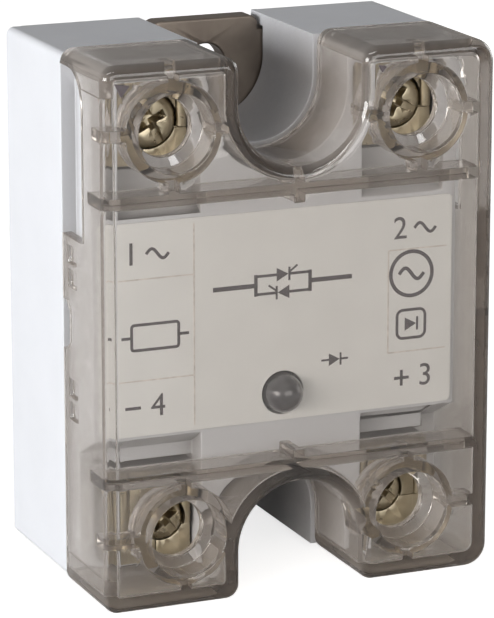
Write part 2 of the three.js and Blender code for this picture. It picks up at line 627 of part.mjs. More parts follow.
// Pan-head screw with a combined slot and cross recess
function screw(size) {
  const under = CLAMP_FRONT_DEPTH + HEAD_SEAT;
  const face = under + HEAD_HEIGHT;
  const tip = TIP_BORE_DEPTH + TIP_CLEARANCE;
  const r = size.headR;
  const rim = HEAD_RIM;
  const rimBreak = HEAD_RIM_BREAK * rim;
  const reach = CROSS_RATIO * r;
  const body = turned([
    [0, tip], [size.shankR - TIP_CHAMFER, tip], [size.shankR, tip + TIP_CHAMFER], [size.shankR, under],
    [r, under], [r, face - rim], [r - rimBreak, face - rimBreak], [r - rim, face], [0, face],
  ]);
  const front = face + OVERCUT;
  const slotReach = r + OVERCUT;
  const slotFloor = face - SLOT_CUT_DEPTH;
  const crossFloor = face - CROSS_CUT_DEPTH;
  const recess = [
    box(-slotReach, slotReach, slotFloor, front, -SLOT_HALF_WIDTH, SLOT_HALF_WIDTH),
    box(-CROSS_HALF_WIDTH, CROSS_HALF_WIDTH, crossFloor, front, -reach, reach),
    box(-reach, reach, crossFloor, front, -CROSS_HALF_WIDTH, CROSS_HALF_WIDTH),
  ];
  return carve(body, recess);
}

// ---- Power stage and control electronics --------------------------------------------------

// Copper bridge from the top of one thyristor to the opposite pad
function cathodeClip(side) {
  const rise = CLIP_DEPTH + CLIP_RISE;
  const landing = CHIP_DEPTH;
  const t = CLIP_THICKNESS;
  const { chipEnd, chipStep, padStep, padEnd } = CLIP_X;
  const corners = [
    [chipEnd, CLIP_DEPTH], [chipStep, CLIP_DEPTH], [chipStep, rise], [padStep, rise], [padStep, landing],
    [padEnd, landing], [padEnd, landing + t], [padStep - t, landing + t], [padStep - t, rise + t],
    [chipStep + t, rise + t], [chipStep + t, CLIP_DEPTH + t], [chipEnd, CLIP_DEPTH + t],
  ];
  return topSlab(corners.map(([x, depth]) => [side * x, depth]), CLIP_HEIGHT);
}

// Axial component lying along X, with its wire ends bent down to the board
function axialPart({ bodyR, length, span }) {
  const axisDepth = PART_DEPTH + AXIAL_LIFT + bodyR;
  const along = (radius, reach) => {
    const g = new THREE.CylinderGeometry(radius, radius, reach, stepsFor(radius));
    g.rotateZ(Math.PI / 2);
    g.translate(0, -axisDepth, 0);
    return g;
  };
  const legs = [-1, 1].map((s) => rod(LEAD_R, PART_DEPTH, axisDepth + LEAD_R, (s * span) / 2));
  return carve(along(bodyR, length), [], [along(AXIAL_LEAD_R, span), ...legs]);
}

function transistor() {
  const { radius, flatStart, flatEnd, tall } = TRANSISTOR;
  return slab(new THREE.Shape(arc(0, 0, radius, flatStart, flatEnd)), PART_DEPTH, PART_DEPTH + tall);
}

// Dual in-line package standing on six legs
function optocoupler() {
  const { halfWidth, halfHeight, back, front, pitch } = OPTOCOUPLER;
  const { legX, legHalfWidth, legHalfHeight, legFront } = OPTOCOUPLER;
  const body = box(-halfWidth, halfWidth, PART_DEPTH + back, PART_DEPTH + front, -halfHeight, halfHeight);
  const legs = [];
  for (const x of [-legX, legX]) {
    for (const z of [-pitch, 0, pitch]) {
      legs.push(box(x - legHalfWidth, x + legHalfWidth, PART_DEPTH, PART_DEPTH + legFront,
        z - legHalfHeight, z + legHalfHeight));
    }
  }
  return carve(body, [], legs);
}

function gel() {
  const holes = SIDES.map(([, side]) => rod(GATE_LEAD_R + GEL_HOLE_CLEARANCE, GEL_BACK_DEPTH - OVERCUT,
    GEL_FRONT_DEPTH + OVERCUT, side * GATE_X, -side * GATE_Z));
  return carve(box(-GEL_HALF_WIDTH, GEL_HALF_WIDTH, GEL_BACK_DEPTH, GEL_FRONT_DEPTH,
    -STAGE_HALF_HEIGHT, STAGE_HALF_HEIGHT), holes);
}

// ---- Assembly -----------------------------------------------------------------------------

part('base_plate', basePlate(), 'nickelPlate');
part('housing', housing(), 'whiteMoulding');
part('clear_cover', cover(), 'clearMoulding');
part('label', label(), 'labelFilm');

const indicator = new THREE.Group();
indicator.position.z = LENS_Z;
relay.add(indicator);
const lensFlangeFront = CAVITY_DEPTH - GAP;
part('indicator_lens', turned(domeProfile(LENS_R, LENS_R + LENS_FLANGE,
  lensFlangeFront - LENS_FLANGE_THICKNESS, lensFlangeFront, LENS_DOME_DEPTH)), 'smokedLens', indicator);
part('indicator_led', turned(domeProfile(LED_R, LED_R + LED_FLANGE, PART_DEPTH,
  PART_DEPTH + LED_FLANGE_THICKNESS, LED_DOME_DEPTH)), 'greenLed', indicator);

const powerStage = new THREE.Group();
relay.add(powerStage);
part('ceramic_substrate', box(-SUBSTRATE_HALF_WIDTH, SUBSTRATE_HALF_WIDTH, SUBSTRATE_DEPTH,
  SUBSTRATE_DEPTH + SUBSTRATE_THICKNESS, -STAGE_HALF_HEIGHT, STAGE_HALF_HEIGHT), 'ceramic', powerStage);
part('silicone_gel', gel(), 'gel', powerStage);
for (const [sideName, side] of SIDES) {
  const pad = part(`copper_pad_${sideName}`, box(-PAD_HALF_WIDTH, PAD_HALF_WIDTH, PAD_DEPTH,
    PAD_DEPTH + PAD_THICKNESS, -PAD_HALF_HEIGHT, PAD_HALF_HEIGHT), 'copper', powerStage);
  pad.position.x = side * PAD_X;
  const chip = part(`thyristor_${sideName}`, box(-CHIP_HALF, CHIP_HALF, CHIP_DEPTH,
    CHIP_DEPTH + CHIP_THICKNESS, -CHIP_HALF, CHIP_HALF), 'silicon', powerStage);
  chip.position.set(side * CHIP_X, 0, -side * CHIP_Z);
  const clip = part(`cathode_clip_${sideName}`, cathodeClip(side), 'copper', powerStage);
  clip.position.z = -side * CLIP_Z;
  const lead = part(`gate_lead_${sideName}`, rod(GATE_LEAD_R, CLIP_DEPTH, BOARD_BACK_DEPTH - SOLDER),
    'copper', powerStage);
  lead.position.set(side * GATE_X, 0, -side * GATE_Z);
}

const electronics = new THREE.Group();
relay.add(electronics);
part('circuit_board', box(-BOARD_HALF_WIDTH, BOARD_HALF_WIDTH, BOARD_BACK_DEPTH, BOARD_FRONT_DEPTH,
  -BOARD_HALF_HEIGHT, BOARD_HALF_HEIGHT), 'board', electronics);
const { halfWidth, halfHeight, tall } = SNUBBER_CAPACITOR;
const capacitor = box(-halfWidth, halfWidth, PART_DEPTH, PART_DEPTH + tall, -halfHeight, halfHeight);
const mounted = [
  ['optocoupler', optocoupler(), 'blackEpoxy', OPTOCOUPLER],
  ['driver_transistor', transistor(), 'blackEpoxy', TRANSISTOR],
  ['input_resistor', axialPart(INPUT_RESISTOR), 'tanEnamel', INPUT_RESISTOR],
  ['snubber_resistor', axialPart(SNUBBER_RESISTOR), 'tanEnamel', SNUBBER_RESISTOR],
  ['snubber_capacitor', capacitor, 'yellowFilm', SNUBBER_CAPACITOR],
];
for (const [name, geometry, finish, place] of mounted) {
  part(name, geometry, finish, electronics).position.set(place.x, 0, place.z);
}

for (const [sideName, side] of SIDES) {
  part(`load_terminal_${sideName}`, loadStrip(), 'brass').position.x = side * LOAD_TERMINAL.x;
  part(`control_terminal_${sideName}`, controlStrip(), 'brass').position.x = side * CONTROL_TERMINAL.x;
}

// Each terminal's captive nut, clamp plate and screw share one axis
for (const { name, side, end, size } of CORNERS) {
  const station = new THREE.Group();
  station.position.set(side * size.x, 0, end * SCREW_Z);
  relay.add(station);
  part(`terminal_nut_${name}`, nut(size), 'plating', station);
  part(`clamp_plate_${name}`, clampPlate(size, side), 'plating', station);
  part(`terminal_screw_${name}`, screw(size), 'plating', station).rotation.y = RECESS_TURN[name];
}

export default relay;
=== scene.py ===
"""Panel-mount solid state relay: the looks of every part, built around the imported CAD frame.

Shapes are worked out in millimetres as (x, depth, z), where depth runs forward from the base
plate's mounting face, and are turned into metres when a piece is put in place.
"""

import math

import bmesh
import bpy
import numpy as np
from mathutils import Matrix, Vector, geometry


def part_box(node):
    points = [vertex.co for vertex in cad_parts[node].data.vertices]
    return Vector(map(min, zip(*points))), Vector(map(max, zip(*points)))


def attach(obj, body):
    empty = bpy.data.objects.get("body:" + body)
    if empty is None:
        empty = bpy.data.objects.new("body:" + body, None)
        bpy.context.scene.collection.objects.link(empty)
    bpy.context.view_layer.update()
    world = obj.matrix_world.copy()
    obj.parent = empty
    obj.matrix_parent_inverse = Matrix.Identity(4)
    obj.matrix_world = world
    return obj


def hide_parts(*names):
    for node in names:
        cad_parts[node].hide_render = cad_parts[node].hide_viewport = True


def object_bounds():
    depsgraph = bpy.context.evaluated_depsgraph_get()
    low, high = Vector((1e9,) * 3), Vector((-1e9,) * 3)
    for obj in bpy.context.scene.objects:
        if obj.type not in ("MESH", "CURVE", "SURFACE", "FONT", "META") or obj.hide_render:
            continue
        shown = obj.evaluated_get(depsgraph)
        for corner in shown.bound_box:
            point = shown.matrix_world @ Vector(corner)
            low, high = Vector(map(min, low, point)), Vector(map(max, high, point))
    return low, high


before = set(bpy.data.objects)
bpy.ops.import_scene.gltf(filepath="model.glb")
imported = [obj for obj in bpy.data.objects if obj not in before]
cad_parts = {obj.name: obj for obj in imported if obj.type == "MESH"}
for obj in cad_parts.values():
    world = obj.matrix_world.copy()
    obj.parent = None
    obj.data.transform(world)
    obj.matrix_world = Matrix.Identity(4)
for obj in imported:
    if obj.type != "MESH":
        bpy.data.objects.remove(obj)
cad_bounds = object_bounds()

MM = 0.001


def node_mm(node):
    """A CAD node's box in millimetres: x, depth and z ranges, each as (low, high)."""
    low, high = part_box(node)
    return (low.x / MM, high.x / MM), (-high.y / MM, -low.y / MM), (low.z / MM, high.z / MM)


# ---- Sizes ----

OVERCUT = 1.0  # a cutter reaches this far past the face that it opens
FIT = 0.3  # air around a part that drops into another

(_, BODY_W), (_, PLATEAU), (_, BODY_H) = node_mm("housing")
BODY_CORNER = 0.9
BODY_NOTCH = 6.8
BODY_RIM = 1.4  # wall around the recess for the base plate
RECESS_DEPTH = 3.3
RECESS_CORNER = 1.5
CAVITY = (19.0, 13.2)  # half width and half height of the room for the electronics
CAVITY_DEPTH = 22.4
CORNER_CAVITY_X = (9.9, 19.0)
CORNER_CAVITY_DEPTH = 7.8
PLATEAU_H = 12.2
STEP = (21.4, 13.8)  # depth and z of the step between the plateau and each well
LOWER_WALL = (19.4, 14.6)  # depth and z where the lower walls start

(_, COVER_W), (COVER_BACK, COVER_FRONT), (_, COVER_H) = node_mm("clear_cover")
COVER_CORNER = 2.6
COVER_LEFT_CORNER = 1.5
COVER_EDGE = 1.1
COVER_NOTCH = 7.15
COVER_MOUTH = 1.6
COVER_WALL = 1.5
COVER_FIT = 0.35
INSIDE_W, INSIDE_H = COVER_W - COVER_WALL, COVER_H - COVER_WALL
INSIDE_FRONT = COVER_FRONT - COVER_WALL
INSIDE_EDGE = 0.45
INSIDE_LEFT_CORNER = 0.5
INSIDE_MOUTH = 0.6
THIN_LEFT = 1.15  # thickness of the left wall between its corners
THIN_MARGIN = (0.3, 2.0)  # how far that stays from the front wall and from the end walls
NOTCH_Z = 24.6
NOTCH_WALL = 1.3

FRONT_W, FRONT_H = INSIDE_W - COVER_FIT, INSIDE_H - COVER_FIT  # the housing inside the cover
FRONT_NOTCH = COVER_NOTCH + NOTCH_WALL + COVER_FIT
FRONT_CORNER = 2.0
LEDGE = COVER_BACK - 0.3

SKIRT_FRONT, SKIRT_ROUND, SKIRT_Z = 23.7, 4.0, (9.8, 28.2)  # upper opening in each side skirt
CATCH_FRONT, CATCH_CHAMFER, CATCH_Z = 19.6, 1.0, (-2.9, 2.5)  # opening for the snap catch
WINDOW_DEPTH = (19.4, 21.9)
WINDOW_STARTS_Z = (4.3, 6.9, -10.5, -7.9)
WINDOW_HEIGHT = 1.9
WINDOW_SINK = 0.4

RIB_Z = {1: 15.0, -1: 15.55}  # by end: the lower rib sits a little further out
RIB = 1.2
RIB_BACK = 24.65
RIB_TIE = 1.5  # the short ribs start this far inside the long ones
BITE = 0.6  # ribs, webs and collars reach this far into the cover's walls
COLLAR_BACK = 25.1
COLLAR_FLOOR = 26.2
COLLAR_R = 5.4
DISH_R = 4.3
DISH_RISE = 0.5  # the dish's floor slopes up this much to its wall
HOLE_R = 3.2

WELL_X = (9.5, 19.2)
WELL_START = {1: 17.1, -1: 16.35}  # inner end of the wells, by end
WELL_END = 27.3
WELL_CORNER = 1.0
WELL_FLOOR = 15.3
SLIT_Z = (15.35, 16.0)  # narrow gap above each lower well
SLIT_STEP = 1.1  # how far the slit's floor is in front of the strip
NUT_POCKET = 12.3
TIP_BORE_R = 2.7
TIP_BORE = 8.8
STRIP_FRONT = node_mm("load_terminal_right")[1][1]

(_, PLATE_W), PLATE_DEPTH, (_, PLATE_H) = node_mm("base_plate")
PLATE_MARGIN = 1.7
PLATE_CORNER = 1.5
PLATE_TAB_W = 6.4
PLATE_TAB_CORNER = 1.0
HOLE_Z = 23.8
MOUNT_R = 2.4
MOUNT_SLOT = 3.6  # half length of the lower slot
(_, LENS_FLANGE), (LENS_BACK, LENS_FRONT), LENS_RANGE = node_mm("indicator_lens")
LENS_Z = sum(LENS_RANGE) / 2
LENS_R = 2.15
LENS_BORE = 21.0

RECESS_TURN = {"upper_left": 1.1, "upper_right": 0.5, "lower_left": 0.9, "lower_right": 0.7}


def terminal(side, end):
    """One terminal's place and sizes, taken from its CAD screw, clamp plate, nut and strip. The
    upper two carry the load and are the larger ones."""
    load = end > 0
    hand = "left" if side < 0 else "right"
    corner = f"{'upper' if load else 'lower'}_{hand}"
    strip_node = f"{'load' if load else 'control'}_terminal_{hand}"
    screw_x, screw_depth, screw_z = node_mm(f"terminal_screw_{corner}")
    clamp_x, clamp_depth, clamp_z = node_mm(f"clamp_plate_{corner}")
    nut_x, nut_depth, _ = node_mm(f"terminal_nut_{corner}")
    return {
        "corner": corner, "side": side, "end": end, "load": load, "strip": strip_node,
        "x": sum(screw_x) / 2, "z": sum(screw_z) / 2, "screw_depth": screw_depth,
        "head": (screw_x[1] - screw_x[0]) / 2,
        "shank": 1.95 if load else 1.5, "bore": 2.35 if load else 1.9,
        "clamp_x": clamp_x, "clamp_z": clamp_z, "clamp_depth": clamp_depth,
        "nut": (nut_x[1] - nut_x[0]) / 2, "nut_depth": nut_depth,
        "slot_w": 3.8 if load else 2.9, "slot_depth": 1.5 if load else 1.1,
    }


TERMINALS = [terminal(side, end) for end in (1, -1) for side in (-1, 1)]

# ---- Outlines, seen from the front as (x, z) ----


def arc(x, z, radius, start, end, steps):
    """Points along an arc, both ends included; angles in quarter turns from +X."""
    turns = [(start + (end - start) * i / steps) * math.pi / 2 for i in range(steps + 1)]
    return [(x + radius * math.cos(turn), z + radius * math.sin(turn)) for turn in turns]


def circle(radius, x=0.0, z=0.0, steps=72):
    return arc(x, z, radius, 0, 4, steps)[:-1]


def rounded_rect(x0, x1, z0, z1, radius, steps=8):
    left, right, low, high = x0 + radius, x1 - radius, z0 + radius, z1 - radius
    corners = ((right, low, -1), (right, high, 0), (left, high, 1), (left, low, 2))
    return [p for x, z, turn in corners for p in arc(x, z, radius, turn, turn + 1, steps)]


def notched(half_w, half_h, corner, notch, mouth=0.0, inset=0.0, left=None):
    """Rounded rectangle with a U-shaped notch in its top and bottom edge, shrunk by inset all round.
    The left-hand corners may have a radius of their own."""
    half_w, half_h, notch = half_w - inset, half_h - inset, notch + inset
    left = max((corner if left is None else left) - inset, 0.05)
    corner, mouth = max(corner - inset, 0.05), max(mouth - inset, 0.05)
    corner_x, corner_z = half_w - corner, half_h - corner
    left_x, left_z = half_w - left, half_h - left
    mouth_x, mouth_z = notch + mouth, half_h - mouth
    return (arc(-mouth_x, mouth_z, mouth, 0, 1, 8) + arc(-left_x, left_z, left, 1, 2, 12)
            + arc(-left_x, -left_z, left, 2, 3, 12) + arc(-mouth_x, -mouth_z, mouth, 3, 4, 8)
            + arc(0, -NOTCH_Z, notch, 2, 0, 40) + arc(mouth_x, -mouth_z, mouth, 2, 3, 8)
            + arc(corner_x, -corner_z, corner, 3, 4, 12) + arc(corner_x, corner_z, corner, 0, 1, 12)
            + arc(mouth_x, mouth_z, mouth, 1, 2, 8) + arc(0, NOTCH_Z, notch, 4, 2, 40))


def span(way, near, far):
    """The range between two distances from the middle, where way is 1 or -1."""
    return sorted((way * near, way * far))


def about(middle, half):
    return middle - half, middle + half


# ---- Solids, in millimetres ----


def linked(data):
    """A new object in the scene that holds the given mesh, curve, light or camera."""
    obj = bpy.data.objects.new(data.name, data)
    bpy.context.scene.collection.objects.link(obj)
    return obj


def solid(vertices, faces):
    """A closed mesh object from (x, depth, z) corners, with its faces pointing out."""
    mesh = bpy.data.meshes.new("solid")
    mesh.from_pydata([(x, -depth, z) for x, depth, z in vertices], [], faces)
    built = bmesh.new()
    built.from_mesh(mesh)
    bmesh.ops.recalc_face_normals(built, faces=built.faces)
    built.to_mesh(mesh)
    built.free()
    return linked(mesh)


def loft(loops):
    """Skin over loops of (x, depth, z) points that all have the same count, capped at both ends."""
    count = len(loops[0])
    vertices = [p for loop in loops for p in loop]
    faces = [list(range(count)), list(range(len(vertices) - count, len(vertices)))]
    for i in range(len(loops) - 1):
        for j in range(count):
            k = (j + 1) % count
            faces.append((i * count + j, i * count + k, (i + 1) * count + k, (i + 1) * count + j))
    return solid(vertices, faces)


def at_depth(outline, depth):
    return [(x, depth, z) for x, z in outline]


def prism(outline, back, front):
    return loft([at_depth(outline, back), at_depth(outline, front)])


def side_prism(corners, x0, x1):
    """A part drawn from the side as (depth, z) corners."""
    return loft([[(x, depth, z) for depth, z in corners] for x in (x0, x1)])


def top_prism(corners, z0, z1):
    """A part drawn from above as (x, depth) corners."""
    return loft([[(x, depth, z) for x, depth in corners] for z in (z0, z1)])


def block(x0, x1, back, front, z0, z1):
    return prism([(x0, z0), (x1, z0), (x1, z1), (x0, z1)], back, front)


def rounded_prism(outline_at, back, front, edge, steps=6):
    """A prism with a round front edge; outline_at(inset) gives the outline shrunk by inset."""
    loops = [at_depth(outline_at(0.0), back)]
    for i in range(steps + 1):
        turn = i / steps * math.pi / 2
        inset, behind = edge * (1 - math.cos(turn)), edge * (1 - math.sin(turn))
        loops.append(at_depth(outline_at(inset), front - behind))
    return loft(loops)


def turned(profile, x=0.0, z=0.0, steps=72):
    """A round part whose axis runs front to back. The profile lists (radius, depth), and its two
    ends are on the axis."""
    vertices, rows = [], []
    for radius, depth in profile:
        if radius == 0:
            rows.append([len(vertices)] * steps)
            vertices.append((x, depth, z))
        else:
            rows.append(list(range(len(vertices), len(vertices) + steps)))
            vertices += at_depth(circle(radius, x, z, steps), depth)
    faces = []
    for low, high in zip(rows, rows[1:]):
        for j in range(steps):
            k = (j + 1) % steps
            face = list(dict.fromkeys((low[j], low[k], high[k], high[j])))
            if len(face) > 2:
                faces.append(face)
    return solid(vertices, faces)


def rod(radius, back, front, x=0.0, z=0.0, steps=72):
    return prism(circle(radius, x, z, steps), back, front)


def combined(base, others, operation):
    for other in others:
        step = base.modifiers.new("step", "BOOLEAN")
        step.operation = operation
        step.solver = "MANIFOLD"
        step.object = other
    bake(base)
    for other in others:
        drop(other)
    return base


def evaluated(obj):
    graph = bpy.context.evaluated_depsgraph_get()
    return bpy.data.meshes.new_from_object(obj.evaluated_get(graph))


def bake(obj):
    """Replaces an object's mesh with what its modifiers make of it."""
    made = evaluated(obj)
    obj.modifiers.clear()
    obj.data = made


def drop(obj):
    bpy.data.objects.remove(obj)


def cut(base, *others):
    return combined(base, others, "DIFFERENCE")


def join(base, *others):
    return combined(base, others, "UNION")


WELD = 0.03  # points closer than this become one
FLAT = math.radians(0.6)  # faces that meet at less than this become one


def cleaned(obj):
    """Merges the slivers and flat neighbours that joins and cuts leave behind."""
    mesh = bmesh.new()
    mesh.from_mesh(obj.data)
    bmesh.ops.remove_doubles(mesh, verts=mesh.verts, dist=WELD)
    bmesh.ops.dissolve_degenerate(mesh, edges=mesh.edges, dist=WELD)
    bmesh.ops.dissolve_limit(mesh, angle_limit=FLAT, verts=mesh.verts, edges=mesh.edges)
    mesh.to_mesh(obj.data)
    mesh.free()


FOLD = math.radians(140)  # an edge sharper than this is a fold


def crossings(mesh):
    """Places where a face's outline crosses itself or where two faces fold back on each other."""
    found = []
    for face in mesh.faces:
        count = len(face.verts)
        if count < 5:
            continue
        drop_axis = max(range(3), key=lambda axis: abs(face.normal[axis]))
        flat = np.delete(np.array([v.co for v in face.verts]), drop_axis, axis=1)
        step = np.roll(flat, -1, axis=0) - flat
        offset = flat[None, :] - flat[:, None]
        cross = step[:, None, 0] * step[None, :, 1] - step[:, None, 1] * step[None, :, 0]
        with np.errstate(divide="ignore", invalid="ignore"):
            along = (offset[..., 0] * step[None, :, 1] - offset[..., 1] * step[None, :, 0]) / cross
            across = (offset[..., 0] * step[:, None, 1] - offset[..., 1] * step[:, None, 0]) / cross
        apart = np.abs(np.arange(count)[:, None] - np.arange(count)[None, :])
        hit = (along > 0) & (along < 1) & (across > 0) & (across < 1) & (apart > 1) & (apart < count - 1)
        found += [face.verts[i].co.copy() for i in np.nonzero(hit.any(axis=1))[0]]
    found += [edge.verts[0].co.copy() for edge in mesh.edges
              if len(edge.link_faces) == 2 and edge.calc_face_angle(0) > FOLD]
    return found


END_PIECE = 0.8  # long edges are split this far from each end, so that a crowded end loses no more
CROWD = 1.5  # how far from a crossing an edge is left sharp, in bevel widths
TRIES = 4


def softened(obj, width, segments=2, angle=40):
    """Rounds every edge sharper than the angle, except where there is no room for it."""
    cleaned(obj)
    sharp = obj.data
    mesh = bmesh.new()
    mesh.from_mesh(sharp)
    weights = mesh.edges.layers.float.new("bevel_weight_edge")
    for edge in mesh.edges:
        if len(edge.link_faces) == 2 and math.radians(angle) < edge.calc_face_angle(0):
            edge[weights] = 1.0
    for edge in [edge for edge in mesh.edges if edge[weights] and edge.calc_length() > 3 * END_PIECE]:
        start, end = edge.verts
        piece, _ = bmesh.utils.edge_split(edge, start, END_PIECE / edge.calc_length())
        rest = edge if end in edge.verts else piece
        bmesh.utils.edge_split(rest, end, END_PIECE / rest.calc_length())
    blocked = 1
    for _ in range(TRIES):
        mesh.to_mesh(sharp)
        obj.data = sharp
        bevel = obj.modifiers.new("bevel", "BEVEL")
        bevel.width = width
        bevel.segments = segments
        bevel.limit_method = "WEIGHT"
        bevel.use_clamp_overlap = False
        bake(obj)
        made = bmesh.new()
        made.from_mesh(obj.data)
        crowded = crossings(made)
        made.free()
        if not crowded or not blocked:
            break
        blocked = 0
        for edge in mesh.edges:
            if edge[weights] > 0:
                a, b = (v.co for v in edge.verts)
                for place in crowded:
                    near = geometry.intersect_point_line(place, a, b)
                    spot = a.lerp(b, min(1, max(0, near[1])))
                    if (spot - place).length < CROWD * width:
                        edge[weights] = 0
                        blocked += 1
                        break
    mesh.free()
    return obj


def moved(obj, x, depth, z):
    obj.data.transform(Matrix.Translation((x, -depth, z)))
    return obj


SHARP = math.radians(50)  # edges sharper than this are not shaded as round


def put(obj, material, body, node=None, name=None):
    """Turns a finished solid into a named piece that rides on a body. If a CAD node is given, the
    piece stands for it and is named after it."""
    mesh = bmesh.new()
    mesh.from_mesh(obj.data)
    bmesh.ops.triangulate(mesh, faces=[face for face in mesh.faces if len(face.verts) > 4])
    mesh.transform(Matrix.Scale(MM, 4))
    mesh.to_mesh(obj.data)
    mesh.free()
    obj.name = obj.data.name = name or f"{node}_fine"
    obj.data.materials.clear()
    obj.data.materials.append(material)
    obj.data.polygons.foreach_set("use_smooth", [True] * len(obj.data.polygons))
    obj.data.set_sharp_from_angle(angle=SHARP)
    normals = obj.modifiers.new("normals", "WEIGHTED_NORMAL")
    normals.keep_sharp = True
    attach(obj, body)
    if node:
        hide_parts(node)


# ---- Materials ----

EDGE_WEAR = 0.25  # width of the bright wear along metal edges
HOLLOW_REACH = 18.0  # how far a hollow's walls are looked for by the painted shade


class Nodes:
    """A node tree, with short ways to add nodes and link them."""

    def __init__(self, tree):
        self.tree = tree

    def add(self, kind, inputs=(), **settings):
        """A new node, with values for its inputs and for its settings."""
        node = self.tree.nodes.new(kind)
        for key, value in settings.items():
            setattr(node, key, value)
        for key, value in dict(inputs).items():
            node.inputs[key].default_value = value
        return node

    def link(self, start, end):
        self.tree.links.new(start, end)

    def fed(self, node, *sources):
        """The node's first output, with the sources linked to its first inputs."""
        for source, socket in zip(sources, node.inputs):
            self.link(source, socket)
        return node.outputs[0]

    def calculated(self, operation, *sources):
        return self.fed(self.add("ShaderNodeMath", operation=operation), *sources)

    def mixed(self, factor, first, second):
        return self.fed(self.add("ShaderNodeMixShader"), factor, first, second)

    def remap(self, value, low, high, start=0.3, end=0.7):
        limits = {"From Min": start, "From Max": end, "To Min": low, "To Max": high}
        return self.fed(self.add("ShaderNodeMapRange", limits), value)


class Look(Nodes):
    """A node material, with short ways to add the procedural detail that each one needs."""

    def __init__(self, name):
        self.material = bpy.data.materials.new(name)
        self.material.use_nodes = True
        super().__init__(self.material.node_tree)
        self.shader = self.tree.nodes["Principled BSDF"]
        self.output = self.tree.nodes["Material Output"]
        self.place = self.add("ShaderNodeTexCoord").outputs["Object"]

    def set(self, **values):
        for key, value in values.items():
            self.shader.inputs[key.replace("_", " ")].default_value = value

    def noise(self, size_mm, detail=2.0, stretch=(1, 1, 1), distortion=0.0):
        """Noise whose features are about size_mm across, stretched along an axis if asked."""
        mapping = self.add("ShaderNodeMapping", {"Scale": stretch})
        self.link(self.place, mapping.inputs["Vector"])
        texture = self.add("ShaderNodeTexNoise", {
            "Scale": 1 / (size_mm * MM), "Detail": detail, "Distortion": distortion})
        self.link(mapping.outputs["Vector"], texture.inputs["Vector"])
        return texture.outputs["Fac"]

    def blend(self, factor, first, second):
        node = self.add("ShaderNodeMix", data_type="RGBA")
        self.link(factor, node.inputs["Factor"])
        for socket, colour in ((node.inputs["A"], first), (node.inputs["B"], second)):
            if isinstance(colour, bpy.types.NodeSocket):
                self.link(colour, socket)
            else:
                socket.default_value = (*colour, 1)
        return node.outputs["Result"]

    def mottle(self, size_mm, detail, first, second):
        """Two colours in soft patches about size_mm across."""
        return self.blend(self.remap(self.noise(size_mm, detail), 0, 1), first, second)

    def colour(self, socket):
        self.link(socket, self.shader.inputs["Base Color"])

    def roughness(self, socket):
        self.link(socket, self.shader.inputs["Roughness"])

    def uneven(self, size_mm, detail, low, high):
        """Roughness that varies in patches about size_mm across."""
        self.roughness(self.remap(self.noise(size_mm, detail), low, high))

    def bump(self, *layers):
        """Each layer is (height, strength, distance in mm), and they add up."""
        below = None
        for height, strength, distance_mm in layers:
            node = self.add("ShaderNodeBump", {"Strength": strength, "Distance": distance_mm * MM})
            self.link(height, node.inputs["Height"])
            if below:
                self.link(below, node.inputs["Normal"])
            below = node.outputs["Normal"]
        self.link(below, self.shader.inputs["Normal"])

    def facing_front(self):
        """0 on the walls along the depth, 1 on the faces across it."""
        normal = self.add("ShaderNodeSeparateXYZ")
        self.link(self.add("ShaderNodeNewGeometry").outputs["True Normal"], normal.inputs[0])
        return self.calculated("ABSOLUTE", normal.outputs["Y"])

    def edges(self):
        """1 on worn edges, 0 on flat stretches."""
        bevel = self.add("ShaderNodeBevel", {"Radius": EDGE_WEAR * MM}, samples=4)
        dot = self.add("ShaderNodeVectorMath", operation="DOT_PRODUCT")
        self.fed(dot, bevel.outputs["Normal"], self.add("ShaderNodeNewGeometry").outputs["Normal"])
        return self.remap(dot.outputs["Value"], 1.0, 0.0, 0.8, 1.0)


def srgb(*values):
    """Linear colour from 0 to 255 screen values."""
    return tuple(((v / 255 + 0.055) / 1.055) ** 2.4 if v > 10 else v / 255 / 12.92 for v in values)


def dimmed(colour, share, tint=(1, 1, 1)):
    return tuple(c * share * t for c, t in zip(colour, tint))


def moulded_plastic(name, colour, roughness=0.45, grain=0.25, tone=0.03, front=1.0, hollow_shade=1.0):
    """Plain moulded plastic: faint cloudy tone, fine spark-eroded grain and slight flow marks. Painted
    shade may darken its front faces and its recesses, by the given shares."""
    look = Look(name)
    base = look.mottle(7.0, 3, dimmed(colour, 1 - tone), colour)
    # painted shade: faces across the depth are darkened to the given share of the colour
    if front < 1.0:
        base = look.blend(look.facing_front(), base, dimmed(colour, front))
    # painted shade: ambient occlusion darkens the colour in recesses, creases and corners
    if hollow_shade < 1.0:
        hollow = look.add("ShaderNodeAmbientOcclusion", {"Distance": HOLLOW_REACH * MM},
                          samples=8, only_local=True)
        painted_hollow_shade = dimmed(colour, hollow_shade, (1.0, 0.95, 0.9))
        base = look.blend(look.remap(hollow.outputs["AO"], 0.0, 1.0, 0.35, 1.0), painted_hollow_shade, base)
    look.colour(base)
    look.uneven(1.3, 4, roughness - 0.06, roughness + 0.08)
    look.bump((look.noise(0.16, 2), grain, 0.03), (look.noise(9.0, 1), 0.15, 0.12))
    look.set(IOR=1.5)
    return look.material


